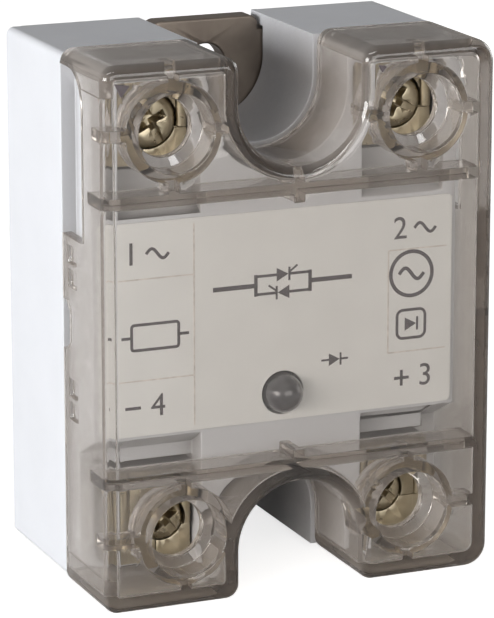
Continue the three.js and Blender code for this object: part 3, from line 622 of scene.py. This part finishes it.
def clear_plastic(name, absorb, density, haze):
    """Tinted clear plastic with a slight milky haze. The walls that slid out of the mould are
    rubbed a little matt, while the faces towards the front are clear. Light that only passes
    through on its way to or from the parts inside goes straight on, so they are well lit."""
    look = Look(name)
    look.set(IOR=1.58, Transmission_Weight=1.0, Base_Color=(1, 1, 1, 1))
    rubbed = look.remap(look.facing_front(), 1.0, 0.0, 0.2, 0.9)
    matt = look.calculated("MULTIPLY", rubbed, look.remap(look.noise(2.2, 3), 0.6, 1.4))
    look.roughness(look.remap(matt, 0.015, 0.11, 0, 1))
    look.bump((look.noise(6.0, 1.5), 0.10, 0.06), (look.noise(0.5, 2), 0.02, 0.01))
    milky = look.add("ShaderNodeBsdfDiffuse", {"Color": (*haze, 1)}).outputs[0]
    hazy = look.mixed(look.remap(matt, 0.035, 0.17, 0, 1), look.shader.outputs["BSDF"], milky)
    path = look.add("ShaderNodeLightPath").outputs
    passing = look.calculated("MAXIMUM", path["Is Shadow Ray"], path["Is Diffuse Ray"])
    straight = look.add("ShaderNodeBsdfTransparent", {"Color": (0.95, 0.945, 0.94, 1)}).outputs[0]
    look.link(look.mixed(passing, hazy, straight), look.output.inputs["Surface"])
    tint = look.add("ShaderNodeVolumeAbsorption", {"Color": (*absorb, 1), "Density": density})
    look.link(tint.outputs["Volume"], look.output.inputs["Volume"])
    return look.material


def plated_metal(name, colour, shade, roughness=0.3, brushed=(1, 1, 1), scratch=0.2):
    """Plated metal with cloudy tarnish, fine scratches along one direction and brighter edges."""
    look = Look(name)
    tarnish = look.blend(look.remap(look.noise(2.4, 2, distortion=0.4), 0, 1), shade, colour)
    bright = tuple(min(1.0, c * 1.25) for c in colour)
    look.colour(look.blend(look.edges(), tarnish, bright))
    look.uneven(1.2, 2, roughness - 0.06, roughness + 0.10)
    look.bump((look.noise(0.15, 1, stretch=brushed), scratch, 0.02),
              (look.noise(0.9, 1), 0.3 * scratch, 0.03))
    look.set(Metallic=1.0)
    return look.material


# painted shade on the housing: front faces at 0.76 and recesses at 0.32 of its white
HOUSING_WHITE = moulded_plastic("housing_white", srgb(236, 238, 243), front=0.76, hollow_shade=0.32)
COVER_CLEAR = clear_plastic("cover_clear", (0.38, 0.285, 0.18), 168.0, srgb(206, 198, 192))
PLATE_METAL = plated_metal("plate_metal", srgb(122, 113, 104), srgb(113, 104, 96), 0.42, (1, 1, 8), 0.1)
SCREW_METAL = plated_metal("screw_metal", srgb(172, 162, 140), srgb(158, 147, 124), 0.3, scratch=0.03)
CLAMP_METAL = plated_metal("clamp_metal", srgb(168, 158, 137), srgb(150, 140, 118), 0.33, (1, 1, 6), 0.03)
STRIP_METAL = plated_metal("strip_metal", srgb(196, 180, 140), srgb(172, 150, 108), 0.32, (6, 1, 1))


def label_film():
    """Satin film with a faint paper-like mottle."""
    look = Look("label_film")
    look.colour(look.mottle(4.0, 4, srgb(236, 237, 236), srgb(242, 243, 242)))
    look.uneven(0.8, 3, 0.5, 0.62)
    look.bump((look.noise(0.2, 3), 0.12, 0.01), (look.noise(5.0, 1), 0.2, 0.03))
    return look.material


def ink(name, colour):
    """Screen-printed ink, slightly uneven."""
    look = Look(name)
    look.colour(look.mottle(0.5, 4, colour, tuple(c * 1.6 + 0.01 for c in colour)))
    look.uneven(0.3, 3, 0.4, 0.6)
    look.bump((look.noise(0.1, 2), 0.2, 0.005))
    return look.material


def smoked(name):
    """Dark, glossy lens plastic."""
    look = Look(name)
    look.colour(look.mottle(0.9, 3, srgb(58, 58, 63), srgb(74, 74, 80)))
    look.uneven(0.6, 3, 0.10, 0.2)
    look.bump((look.noise(0.8, 2), 0.06, 0.02))
    look.set(IOR=1.57, Coat_Weight=0.5)
    return look.material


LABEL_FILM = label_film()
INK = ink("label_ink", srgb(62, 57, 62))
FAINT_INK = ink("label_faint_ink", srgb(196, 191, 186))
LENS_SMOKED = smoked("lens_smoked")

# ---- Cover ----


def cover_shell():
    """The hollow cover, with round edges and a left wall that is thinned between its corners."""
    def outer(inset):
        return notched(COVER_W, COVER_H, COVER_CORNER, COVER_NOTCH, COVER_MOUTH, inset, COVER_LEFT_CORNER)

    def inner(inset):
        return notched(INSIDE_W, INSIDE_H, COVER_CORNER - COVER_WALL, COVER_NOTCH + NOTCH_WALL,
                       INSIDE_MOUTH, inset, INSIDE_LEFT_CORNER)

    thin_front, thin_end = THIN_MARGIN
    relief = block(THIN_LEFT - COVER_W, OVERCUT - INSIDE_W, COVER_BACK - OVERCUT, INSIDE_FRONT - thin_front,
                   thin_end - INSIDE_H, INSIDE_H - thin_end)
    return cut(rounded_prism(outer, COVER_BACK, COVER_FRONT, COVER_EDGE),
               rounded_prism(inner, COVER_BACK - OVERCUT, INSIDE_FRONT, INSIDE_EDGE), relief)


def cover_ribs(end):
    """The rib across one end of the cover, and the short one that ties it to the notch."""
    z, front = RIB_Z[end], INSIDE_FRONT + BITE
    notch_bottom = NOTCH_Z - COVER_NOTCH - NOTCH_WALL
    return [
        block(*about(0, INSIDE_W + BITE), RIB_BACK, front, *span(end, z - RIB / 2, z + RIB / 2)),
        block(*about(0, RIB / 2), RIB_BACK, front, *span(end, z - RIB_TIE, notch_bottom + BITE)),
    ]


def cover_collar(t):
    """The collar around one screw, and the webs that tie it to the walls."""
    x, z, side, end = t["x"], t["z"], t["side"], t["end"]
    front, web_back = INSIDE_FRONT + BITE, COLLAR_BACK + 1
    return [
        rod(COLLAR_R, COLLAR_BACK, front, x, z, 96),
        block(*span(side, COVER_NOTCH + 1, INSIDE_W + BITE), web_back, front, *about(z, RIB / 2)),
        block(*about(x, RIB / 2), web_back, front, *span(end, RIB_Z[end], INSIDE_H + BITE)),
    ]


def collar_bore(t):
    """The dish in front of one screw and the hole in its floor."""
    back, front = COLLAR_BACK - OVERCUT, COVER_FRONT + OVERCUT
    return turned([(0, back), (HOLE_R, back), (HOLE_R, COLLAR_FLOOR), (DISH_R, COLLAR_FLOOR + DISH_RISE),
                   (DISH_R, front), (0, front)], t["x"], t["z"], 96)


def skirt_openings(side):
    """What is cut from one side skirt: its upper opening, the one for the catch, and the snap
    windows, which are sunk into its outer face."""
    through = span(side, INSIDE_W - 0.2, COVER_W + OVERCUT)
    sunk = span(side, COVER_W - WINDOW_SINK, COVER_W + OVERCUT)
    back = COVER_BACK - OVERCUT
    low, high = SKIRT_Z
    upper = [(back, low), (SKIRT_FRONT, low)]
    upper += arc(SKIRT_FRONT - SKIRT_ROUND, high - SKIRT_ROUND, SKIRT_ROUND, 0, 1, 10) + [(back, high)]
    low, high = CATCH_Z
    shoulder = CATCH_FRONT - CATCH_CHAMFER
    catch = [(back, low), (shoulder, low), (CATCH_FRONT, low + CATCH_CHAMFER),
             (CATCH_FRONT, high - CATCH_CHAMFER), (shoulder, high), (back, high)]
    windows = [block(*sunk, *WINDOW_DEPTH, z, z + WINDOW_HEIGHT) for z in WINDOW_STARTS_Z]
    return [side_prism(upper, *through), side_prism(catch, *through)] + windows


def build_cover():
    added = cover_ribs(-1) + cover_ribs(1)
    removed = []
    for t in TERMINALS:
        added += cover_collar(t)
        removed.append(collar_bore(t))
    return cut(join(cover_shell(), *added), *removed, *skirt_openings(-1), *skirt_openings(1))


put(softened(build_cover(), 0.12), COVER_CLEAR, "cover", "clear_cover")

PIP = moulded_plastic("cover_pip", srgb(84, 74, 84), 0.35, 0.1)
PIP_RISE, PIP_BITE = 0.35, 0.2


def build_pip(x, z, size):
    """Small raised triangle moulded on the inside of the cover's front, pointing down."""
    corners = [(x - size, z + size * 0.75), (x - size * 0.1, z - size), (x + size, z + size * 0.4)]
    return softened(prism(corners, INSIDE_FRONT - PIP_RISE, INSIDE_FRONT + PIP_BITE), 0.08, 3)


put(build_pip(-20.2, 27.2, 0.85), PIP, "cover", name="cover_pip_left")
put(build_pip(9.6, 27.3, 0.45), PIP, "cover", name="cover_pip_right")

# ---- Housing ----


def slope(start, foot, stop, far, x_range):
    """A cutter that runs down from the plateau's edge, at z start, to the foot's depth, at z stop,
    and then flat to z far."""
    over = PLATEAU + OVERCUT
    return side_prism([(over, start), (PLATEAU, start), (foot, stop), (foot, far), (over, far)], *x_range)


def well_cutters(t):
    """What one terminal takes out of the housing: its well, the pocket for the nut and the bore for
    the screw's tip, the room behind, the slot for the strip, and the step beside the label."""
    x, z, side, end = t["x"], t["z"], t["side"], t["end"]
    across = span(side, *WELL_X)
    start = WELL_START[end]
    pocket = t["nut"] + FIT
    inner = CAVITY[1] - OVERCUT
    step_depth, step_z = STEP
    return [
        prism(rounded_rect(*across, *span(end, start, WELL_END), WELL_CORNER), WELL_FLOOR, PLATEAU + OVERCUT),
        block(*about(x, pocket), NUT_POCKET, WELL_FLOOR + OVERCUT, *about(z, pocket)),
        rod(TIP_BORE_R, TIP_BORE, NUT_POCKET + OVERCUT, x, z),
        block(*span(side, *CORNER_CAVITY_X), 1, CORNER_CAVITY_DEPTH, *span(end, inner, WELL_END)),
        block(*about(x, t["slot_w"]), STRIP_FRONT - t["slot_depth"], STRIP_FRONT + FIT,
              *span(end, inner, start + OVERCUT)),
        slope(end * PLATEAU_H, step_depth, end * step_z, end * (start + OVERCUT), across),
    ]


def lower_well_cutters(t):
    """The slit above a lower well, and the slopes that run down from the plateau around it."""
    side = t["side"]
    wall_depth, wall_z = LOWER_WALL
    far = -BODY_H - OVERCUT
    return [
        block(*span(side, *WELL_X), STRIP_FRONT + SLIT_STEP, STEP[0] + OVERCUT, *span(-1, *SLIT_Z)),
        slope(-PLATEAU_H, wall_depth, -wall_z, far, span(side, WELL_X[1] - 1, FRONT_W + OVERCUT)),
        slope(t["z"], wall_depth, t["z"], far, span(side, WELL_X[0], FRONT_W + OVERCUT)),
    ]


def build_housing():
    body = prism(notched(BODY_W, BODY_H, BODY_CORNER, BODY_NOTCH), 0, LEDGE)
    front = prism(notched(FRONT_W, FRONT_H, FRONT_CORNER, FRONT_NOTCH), LEDGE - 1, PLATEAU)
    recess = rounded_rect(*about(0, BODY_W - BODY_RIM), *about(0, BODY_H - BODY_RIM), RECESS_CORNER)
    cavity = rounded_rect(*about(0, CAVITY[0]), *about(0, CAVITY[1]), RECESS_CORNER)
    removed = [prism(recess, -OVERCUT, RECESS_DEPTH), prism(cavity, 1, CAVITY_DEPTH),
               rod(LENS_R + FIT, LENS_BORE, PLATEAU + OVERCUT, 0, LENS_Z)]
    for t in TERMINALS:
        removed += well_cutters(t)
        if not t["load"]:
            removed += lower_well_cutters(t)
    return cut(join(body, front), *removed)


put(softened(build_housing(), 0.15), HOUSING_WHITE, "root", "housing")

# ---- Base plate ----


def build_base_plate():
    plate = rounded_rect(*about(0, PLATE_W), *about(0, BODY_H - PLATE_MARGIN), PLATE_CORNER)
    tabs = rounded_rect(*about(0, PLATE_TAB_W), *about(0, PLATE_H), PLATE_TAB_CORNER)
    through = (-OVERCUT, PLATE_DEPTH[1] + OVERCUT)
    slot = rounded_rect(*about(0, MOUNT_R), *about(-HOLE_Z, MOUNT_SLOT), MOUNT_R - 0.001, 16)
    return cut(join(prism(plate, *PLATE_DEPTH), prism(tabs, *PLATE_DEPTH)),
               rod(MOUNT_R, *through, 0, HOLE_Z, 64), prism(slot, *through))


put(softened(build_base_plate(), 0.25, 3), PLATE_METAL, "root", "base_plate")

# ---- Label ----

LABEL_X, LABEL_DEPTH, LABEL_Z = node_mm("label")
INK_BACK, INK_FRONT = LABEL_DEPTH[1] - 0.01, LABEL_DEPTH[1] + 0.03
DIGIT_HEIGHT = 2.6
DIGIT_SHARE = 0.73  # a digit's height, as a share of the font's size


def build_label():
    film = prism(rounded_rect(*LABEL_X, *LABEL_Z, 0.6), *LABEL_DEPTH)
    return cut(film, rod(LENS_R + FIT, LABEL_DEPTH[0] - 1, LABEL_DEPTH[1] + 1, 0, LENS_Z))


put(softened(build_label(), 0.05), LABEL_FILM, "root", "label")


def stroke(points, width, closed=False):
    """A printed line along (x, z) points, as a thin raised solid."""
    places = [Vector(point) for point in points]
    count = len(places)
    left, right = [], []
    for i, here in enumerate(places):
        steps = []
        if closed or i > 0:
            steps.append(here - places[i - 1])
        if closed or i < count - 1:
            steps.append(places[(i + 1) % count] - here)
        normals = [Vector((-step.y, step.x)).normalized() for step in steps]
        normal = sum(normals, Vector((0, 0))).normalized()
        reach = normal * (width / 2 / max(normal.dot(normals[0]), 0.4))
        left.append((here + reach)[:])
        right.append((here - reach)[:])
    if not closed:
        return prism(left + right[::-1], INK_BACK, INK_FRONT)
    vertices, faces = [], []
    for ring, depth in ((left, INK_BACK), (right, INK_BACK), (right, INK_FRONT), (left, INK_FRONT)):
        vertices += at_depth(ring, depth)
    for band in range(4):
        for i in range(count):
            j = (i + 1) % count
            a, b = band * count, (band + 1) % 4 * count
            faces.append((a + i, a + j, b + j, b + i))
    return solid(vertices, faces)


def bar(x0, z0, x1, z1, width=0.34):
    return stroke([(x0, z0), (x1, z1)], width)


def wave(x, z, width, height):
    """The sign for alternating current."""
    turns = [i / 24 for i in range(25)]
    return [(x + width * (turn - 0.5), z + height / 2 * math.sin(turn * 2 * math.pi)) for turn in turns]


def diode(x, z, size, way=1):
    """A diode sign: a filled triangle and a bar across its point."""
    half = size / 2
    foot, tip = x - half * way, x + half * way
    corners = [(foot, z - half), (x + 0.42 * size * way, z), (foot, z + half)]
    return [prism(corners, INK_BACK, INK_FRONT), bar(tip, z - half, tip, z + half, 0.16 * size)]


def numeral(text, x, z):
    """A printed number, centred at x, z."""
    curve = bpy.data.curves.new("numeral", "FONT")
    curve.body = text
    curve.size = DIGIT_HEIGHT / DIGIT_SHARE
    curve.align_x = curve.align_y = "CENTER"
    curve.extrude = (INK_FRONT - INK_BACK) / 2
    curve.resolution_u = 6
    outline = linked(curve)
    mesh = evaluated(outline)
    drop(outline)
    mesh.transform(Matrix.Rotation(math.pi / 2, 4, "X"))
    return moved(linked(mesh), x, (INK_BACK + INK_FRONT) / 2, z)


def gathered(parts):
    """One object that holds several separate solids."""
    meshes = bmesh.new()
    for part in parts:
        meshes.from_mesh(part.data)
        drop(part)
    mesh = bpy.data.meshes.new("gathered")
    bmesh.ops.remove_doubles(meshes, verts=meshes.verts, dist=0.0005)
    meshes.to_mesh(mesh)
    meshes.free()
    return linked(mesh)


def label_marks():
    marks = [
        numeral("1", -17.6, 8.3), stroke(wave(-14.6, 8.3, 2.6, 1.1), 0.34),
        numeral("2", 14.0, 8.3), stroke(wave(17.0, 8.3, 2.6, 1.1), 0.34),
        numeral("4", -14.6, -8.6), bar(-18.4, -8.6, -16.6, -8.6),
        numeral("3", 17.2, -8.6), bar(13.4, -8.6, 15.2, -8.6), bar(14.3, -9.5, 14.3, -7.7),
    ]
    # two back-to-back switches in a frame, between the leads of the load terminals
    for way, z in ((1, 4.6), (-1, 2.6)):
        marks += diode(0.0, z, 1.5, way)
        marks += [bar(0.75 * way, z + 0.2, 1.7 * way, z + 0.9, 0.22), bar(-3.2, z, -0.7, z, 0.3),
                  bar(0.7, z, 3.2, z, 0.3)]
    for side in (-1, 1):
        marks += [bar(3.2 * side, 3.6, 8.2 * side, 3.6, 0.5), bar(3.2 * side, 2.4, 3.2 * side, 4.8, 0.4)]
    # on the right, a ring with the alternating current sign and a boxed diode sign
    marks += [stroke(circle(2.5, 15.4, 3.2, 48), 0.42, closed=True), stroke(wave(15.4, 3.2, 3.0, 1.3), 0.4),
              stroke(rounded_rect(13.7, 17.1, -4.1, -0.9, 0.7, 6), 0.32, closed=True)]
    marks += diode(15.4, -2.5, 1.5)
    # on the left, a resistor sign; beside the indicator, a diode sign
    marks += [stroke(rounded_rect(-17.6, -12.2, -2.2, 0.6, 0.3, 4), 0.32, closed=True),
              bar(-18.8, -0.8, -17.6, -0.8, 0.32), bar(-12.2, -0.8, -11.0, -0.8, 0.32)]
    marks += diode(6.2, -5.6, 1.4)
    return marks + [bar(4.6, -5.6, 5.5, -5.6, 0.22), bar(6.9, -5.6, 7.8, -5.6, 0.22)]


def label_panels():
    """Faint borders between the label's printed fields."""
    lines = [bar(-10.4, 11.2, -10.4, -11.2, 0.16), bar(12.6, 6.0, 12.6, -5.6, 0.16)]
    for x0, x1, z in ((-19.6, -10.4, 5.6), (-19.6, -10.4, -5.6), (12.6, 19.6, 6.0), (12.6, 19.6, -5.6)):
        lines.append(bar(x0, z, x1, z, 0.16))
    return lines


put(gathered(label_marks()), INK, "root", name="label_print")
put(gathered(label_panels()), FAINT_INK, "root", name="label_panel_lines")

# ---- Indicator ----


def build_lens():
    back, flange, base = LENS_BACK, LENS_FLANGE, LENS_FRONT - LENS_R
    dome = [(r, base + d) for r, d in arc(0, 0, LENS_R, 0, 1, 14)][1:-1]
    return turned([(0, back), (flange - 0.1, back), (flange, back + 0.1), (flange, back + 1.0),
                   (flange - 0.1, back + 1.1), (LENS_R, back + 1.1), (LENS_R, base)]
                  + dome + [(0, LENS_FRONT)], 0, LENS_Z, 64)


put(build_lens(), LENS_SMOKED, "root", "indicator_lens")

# ---- Terminals ----

THREAD_PITCH = 0.794
THREAD_CUT = 0.36
THREAD_ROOT = 0.4  # the shank's core is thinner than the thread by this radius
HEAD_HEIGHT = 2.0


def build_screw(t):
    """Pan-head screw with a combined slot and cross recess, and a real thread on its shank."""
    tip, face = t["screw_depth"]
    head, shank = t["head"], t["shank"]
    core = shank - THREAD_ROOT
    under = face - HEAD_HEIGHT
    crown, rim = 0.12, 1.15  # rise of the head's top, and radius of its edge
    dome = [(head, under + 0.15), (head, face - rim)]
    dome += [(head - rim + r, face - crown - rim + d) for r, d in arc(0, crown, rim, 0, 0.94, 12)][1:]
    body = turned([(0, tip + 1.0), (core, tip + 1.0), (core, under), (head - 0.15, under)]
                  + dome + [(head * 0.3, face - 0.015), (0, face)], 0, 0, 96)
    slot = block(-head - 1, head + 1, face - 1.0, face + 1, *about(0, 0.42))
    cross = cross_outline(2.0, 0.55)
    cross_recess = loft([[(x * size, depth, z * size) for x, z in cross]
                         for depth, size in ((face - 1.9, 0.45), (face + 0.5, 1.0))])
    made = join(softened(cut(body, slot, cross_recess), 0.07, 2, 48), build_thread(tip, under + 0.1, shank))
    made.data.transform(Matrix.Rotation(RECESS_TURN[t["corner"]], 4, "Y"))
    return moved(made, t["x"], 0, t["z"])


def cross_outline(reach, half):
    return [(reach, -half), (reach, half), (half, half), (half, reach), (-half, reach), (-half, half),
            (-reach, half), (-reach, -half), (-half, -half), (-half, -reach), (half, -reach), (half, -half)]


def build_thread(tip, end, radius, around=48, per_pitch=10):
    """A threaded rod: its radius rises and falls once for each pitch, a little later at each angle."""
    rows = int((end - tip) / THREAD_PITCH * per_pitch)
    rings = []
    for i in range(rows + 1):
        depth = tip + (end - tip) * i / rows
        taper = (1 - min(1.0, (depth - tip) / 0.7)) * 0.3
        ring = []
        for j in range(around):
            phase = (depth / THREAD_PITCH + j / around) % 1.0
            height = min(1.0, (1 - abs(2 * phase - 1)) * 1.25)
            angle, r = j / around * 2 * math.pi, radius - THREAD_CUT * (1 - height) - taper
            ring.append((r * math.cos(angle), depth, r * math.sin(angle)))
        rings.append(ring)
    return loft(rings)


CLAMP_RIDGE = 2.0  # the clamp plate's border stands this far in front of its plate
CLAMP_THICK = 1.0
CLAMP_ROLL = 0.66  # radius of the rolled border
CLAMP_SILL = 0.3  # between its rolled borders, the plate is this much lower than their ridge
CLAMP_STEP_Z = -0.9  # below this, seen from the screw, the plate is one step lower
GRIP_GROOVES = (-1.9, -1.1, -0.3, 0.5, 1.3, 2.1)


def build_clamp(t):
    """Pressed saddle plate: side edges turned back towards the wire, and a rolled border that
    stands up around the screw head, in two steps."""
    x, z = t["x"], t["z"]
    x0, x1 = t["clamp_x"]
    z0, z1 = t["clamp_z"]
    back, ridge = t["clamp_depth"]
    front, over = ridge - CLAMP_RIDGE, ridge + OVERCUT
    web, sill = front - CLAMP_THICK, ridge - CLAMP_SILL
    roll = CLAMP_ROLL
    left, right = (arc(middle, ridge - roll, roll, 0, 2, 16) for middle in (x0 + roll, x1 - roll))
    outline = [(x0, back), (x0 + CLAMP_THICK, back), (x0 + CLAMP_THICK, web), (x1 - CLAMP_THICK, web),
               (x1 - CLAMP_THICK, back), (x1, back), *right,
               (x1 - 2 * roll - 0.1, sill), (x0 + 2 * roll + 0.1, sill), *left]
    low, step = z0 - OVERCUT, z + CLAMP_STEP_Z
    removed = [
        rod(t["bore"], back - OVERCUT, over, x, z),
        rod(t["head"] + 0.1, front, over, x, z, 96),
        block(x0 - OVERCUT, x1 + OVERCUT, sill - 0.3, over, low, step),
        block(x0 - OVERCUT, x1 + OVERCUT, sill - 0.55, over, step - 0.15, step),
        block(x - 0.75, x - 0.6, sill - 0.8, over, low, step - 0.1),
    ]
    removed += [block(*about(x + groove, 0.11), back + 0.4, web + 0.15, low, z1 + OVERCUT)
                for groove in GRIP_GROOVES]
    return softened(cut(top_prism(outline, z0, z1), *removed), 0.06, 2, 40)


LOAD_BEND_Z = 11.6


def ribbon(path, thickness, bend):
    """Side view of a bent strip: (depth, z) corners along its centre line, rounded where it bends."""
    points = [Vector(point) for point in path]
    centre = [(points[0], (points[1] - points[0]).normalized())]
    for before, here, after in zip(points, points[1:], points[2:]):
        incoming, outgoing = (here - before).normalized(), (after - here).normalized()
        turn = incoming.angle_signed(outgoing)
        start = here - incoming * (bend * math.tan(abs(turn) / 2))
        middle = start + Vector((incoming.y, -incoming.x)) * math.copysign(bend, turn)
        for i in range(9):
            swing = Matrix.Rotation(-turn * i / 8, 2)
            centre.append((middle + swing @ (start - middle), swing @ incoming))
    centre.append((points[-1], (points[-1] - points[-2]).normalized()))
    sides = [[(p + Vector((-d.y, d.x)) * s * thickness / 2)[:] for p, d in centre] for s in (1, -1)]
    return sides[0] + sides[1][::-1]


def build_strip(t):
    """A strip that lies under its clamp plate and then bends back into the housing. The load
    strips have one more bend, with a foot behind it."""
    (x0, x1), (foot, front), (z0, z1) = node_mm(t["strip"])
    if t["load"]:
        thick, bend, edge = 1.1, 0.9, 0.12
        mid, low = front - thick / 2, foot + thick / 2
        path = [(mid, z1), (mid, LOAD_BEND_Z), (low, LOAD_BEND_Z), (low, z0)]
    else:
        thick, bend, edge = 0.78, 0.6, 0.1
        mid, inner = front - thick / 2, z1 - thick / 2
        path = [(mid, z0), (mid, inner), (foot, inner)]
    strip = side_prism(ribbon(path, thick, bend), x0, x1)
    return softened(cut(strip, rod(t["bore"], front - 3, front + 1, t["x"], t["z"])), edge, 2, 45)


def build_nut(t):
    back, front = t["nut_depth"]
    chamfer = 0.35
    bore, mouth = t["bore"], t["bore"] + chamfer
    body = prism(rounded_rect(*about(0, t["nut"]), *about(0, t["nut"]), 0.4), back, front)
    hole = turned([(0, back - 1), (mouth, back - 1), (mouth, back), (bore, back + chamfer),
                   (bore, front - chamfer), (mouth, front), (mouth, front + 1), (0, front + 1)])
    return moved(softened(cut(body, hole), 0.12, 2, 50), t["x"], 0, t["z"])


for t in TERMINALS:
    corner = t["corner"]
    put(build_screw(t), SCREW_METAL, f"screw_{corner}", f"terminal_screw_{corner}")
    put(build_clamp(t), CLAMP_METAL, f"clamp_{corner}", f"clamp_plate_{corner}")
    put(build_nut(t), CLAMP_METAL, "root", f"terminal_nut_{corner}")
    put(build_strip(t), STRIP_METAL, "root", t["strip"])

# ---- Parts inside the housing ----


def dress(node, material, edge_mm=0.08):
    """A CAD node that keeps its shape and gets round edges and a finish."""
    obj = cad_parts[node]
    obj.data.materials.clear()
    obj.data.materials.append(material)
    bevel = obj.modifiers.new("edges", "BEVEL")
    bevel.width = edge_mm * MM
    bevel.segments = 2
    bevel.limit_method = "ANGLE"
    bevel.angle_limit = math.radians(40)
    normals = obj.modifiers.new("normals", "WEIGHTED_NORMAL")
    normals.keep_sharp = True


BLACK_EPOXY = moulded_plastic("black_epoxy", srgb(34, 34, 37), 0.5, 0.5, 0.15)
TAN_ENAMEL = moulded_plastic("tan_enamel", srgb(196, 164, 120), 0.35, 0.15, 0.06)
YELLOW_FILM = moulded_plastic("yellow_film", srgb(214, 178, 62), 0.35, 0.1, 0.05)
BOARD_GREEN = moulded_plastic("board_green", srgb(44, 104, 60), 0.4, 0.3, 0.15)
CERAMIC = moulded_plastic("alumina", srgb(238, 234, 224), 0.6, 0.6, 0.03)
GEL = moulded_plastic("gel", srgb(206, 200, 186), 0.18, 0.1, 0.04)
LED_GREEN = moulded_plastic("led_green", srgb(96, 176, 92), 0.2, 0.05, 0.05)
SILICON = plated_metal("silicon", srgb(120, 124, 136), srgb(92, 96, 108), 0.2)
COPPER = plated_metal("copper", srgb(200, 128, 90), srgb(150, 86, 58), 0.3)

dress("indicator_led", LED_GREEN)
dress("ceramic_substrate", CERAMIC)
dress("silicone_gel", GEL, 0.3)
dress("circuit_board", BOARD_GREEN)
dress("optocoupler", BLACK_EPOXY)
dress("driver_transistor", BLACK_EPOXY, 0.15)
dress("input_resistor", TAN_ENAMEL)
dress("snubber_resistor", TAN_ENAMEL)
dress("snubber_capacitor", YELLOW_FILM, 0.5)
for hand in ("left", "right"):
    dress(f"thyristor_{hand}", SILICON)
    for part in ("copper_pad", "cathode_clip", "gate_lead"):
        dress(f"{part}_{hand}", COPPER)

# ---- Stage, light and camera ----


def build_floor():
    """Plain pale paper. What it sends back to the object's own surfaces is dimmer than it looks."""
    mesh = bmesh.new()
    bmesh.ops.create_circle(mesh, cap_ends=True, radius=1.2, segments=96)
    data = bpy.data.meshes.new("floor")
    mesh.to_mesh(data)
    mesh.free()
    floor = linked(data)
    floor.location.z = cad_bounds[0][2]
    look = Look("floor_paper")
    path = look.add("ShaderNodeLightPath").outputs
    paper = look.mottle(40.0, 2, (0.90, 0.90, 0.90), (0.92, 0.92, 0.92))
    other = look.blend(path["Is Diffuse Ray"], (0.85, 0.84, 0.83), (0.10, 0.097, 0.093))
    look.colour(look.blend(path["Is Camera Ray"], other, paper))
    look.set(Roughness=0.9, Emission_Color=(1, 1, 1, 1))
    glow = look.remap(path["Is Camera Ray"], 0.0, 0.75, 0, 1)
    look.link(glow, look.shader.inputs["Emission Strength"])
    data.materials.append(look.material)


def area_light(name, place, size, watts):
    """A rectangular light that faces the object."""
    data = bpy.data.lights.new(name, "AREA")
    data.shape = "RECTANGLE"
    data.size, data.size_y = size
    data.energy = watts
    light = linked(data)
    light.location = place
    light.rotation_euler = (-Vector(place)).to_track_quat("-Z", "Y").to_euler()
    return light


def build_world():
    """A white room, dim overhead and underfoot. What the parts mirror or bend is a room of its own:
    pale at the front and left, darker low down and to the right. Past everything it is plain white."""
    world = bpy.data.worlds.new("room")
    world.use_nodes = True
    room = Nodes(world.node_tree)
    way = room.add("ShaderNodeSeparateXYZ")
    room.fed(way, room.add("ShaderNodeTexCoord").outputs["Generated"])

    def shaded(*ramps):
        """The product of ramps along the axes, each given as (axis, start, end, low, high)."""
        product = None
        for axis, start, end, low, high in ramps:
            ramp = room.remap(way.outputs[axis], low, high, start, end)
            product = room.calculated("MULTIPLY", product, ramp) if product else ramp
        return product

    def wall(strength=None, colour=(1, 1, 1)):
        node = room.add("ShaderNodeBackground", {"Color": (*colour, 1)})
        if strength:
            room.link(strength, node.inputs["Strength"])
        return node.outputs[0]

    path = room.add("ShaderNodeLightPath").outputs
    lit = wall(shaded(("Z", 0.0, 0.7, 0.75, 0.1), ("Y", 0.0, 0.7, 1.0, 0.25)))
    seen = wall(shaded(("Z", -0.35, 0.25, 0.12, 0.75), ("X", 0.1, 0.7, 1.0, 0.2), ("Y", 0.2, 0.9, 1.0, 0.55)),
                (1.0, 0.975, 0.95))
    shown = room.mixed(path["Is Glossy Ray"], lit, seen)
    shown = room.mixed(path["Is Transmission Ray"], shown, seen)
    shown = room.mixed(path["Is Camera Ray"], shown, wall())
    room.link(shown, world.node_tree.nodes["World Output"].inputs["Surface"])
    bpy.context.scene.world = world


def build_camera():
    data = bpy.data.cameras.new("camera")
    data.lens = 210.0
    data.sensor_width = 36.0
    camera = linked(data)
    azimuth, elevation, distance = math.radians(-23.0), math.radians(14.475), 0.40396
    target = Vector((1.25, -12.0, -2.5)) * MM
    way = Vector((math.sin(azimuth) * math.cos(elevation), -math.cos(azimuth) * math.cos(elevation),
                  math.sin(elevation)))
    camera.location = target + way * distance
    camera.rotation_euler = (-way).to_track_quat("-Z", "Y").to_euler()
    bpy.context.scene.camera = camera


build_floor()
build_world()
area_light("key_left", (-0.62, -0.30, 0.0), (0.5, 0.45), 9.1)
area_light("right_fill", (0.60, 0.16, 0.05), (0.5, 0.5), 2.6)
area_light("front_fill", (0.10, -0.75, 0.03), (0.6, 0.5), 3.2)
glint = area_light("edge_glint", (-0.12, -0.34, 0.46), (0.6, 0.07), 1.1)
glint.visible_diffuse = False
glint.visible_transmission = False
build_camera()

scene = bpy.context.scene
scene.view_settings.view_transform = "Standard"
scene.cycles.max_bounces = 16
scene.cycles.transmission_bounces = 14
scene.cycles.transparent_max_bounces = 24
scene.cycles.sample_clamp_indirect = 4.0
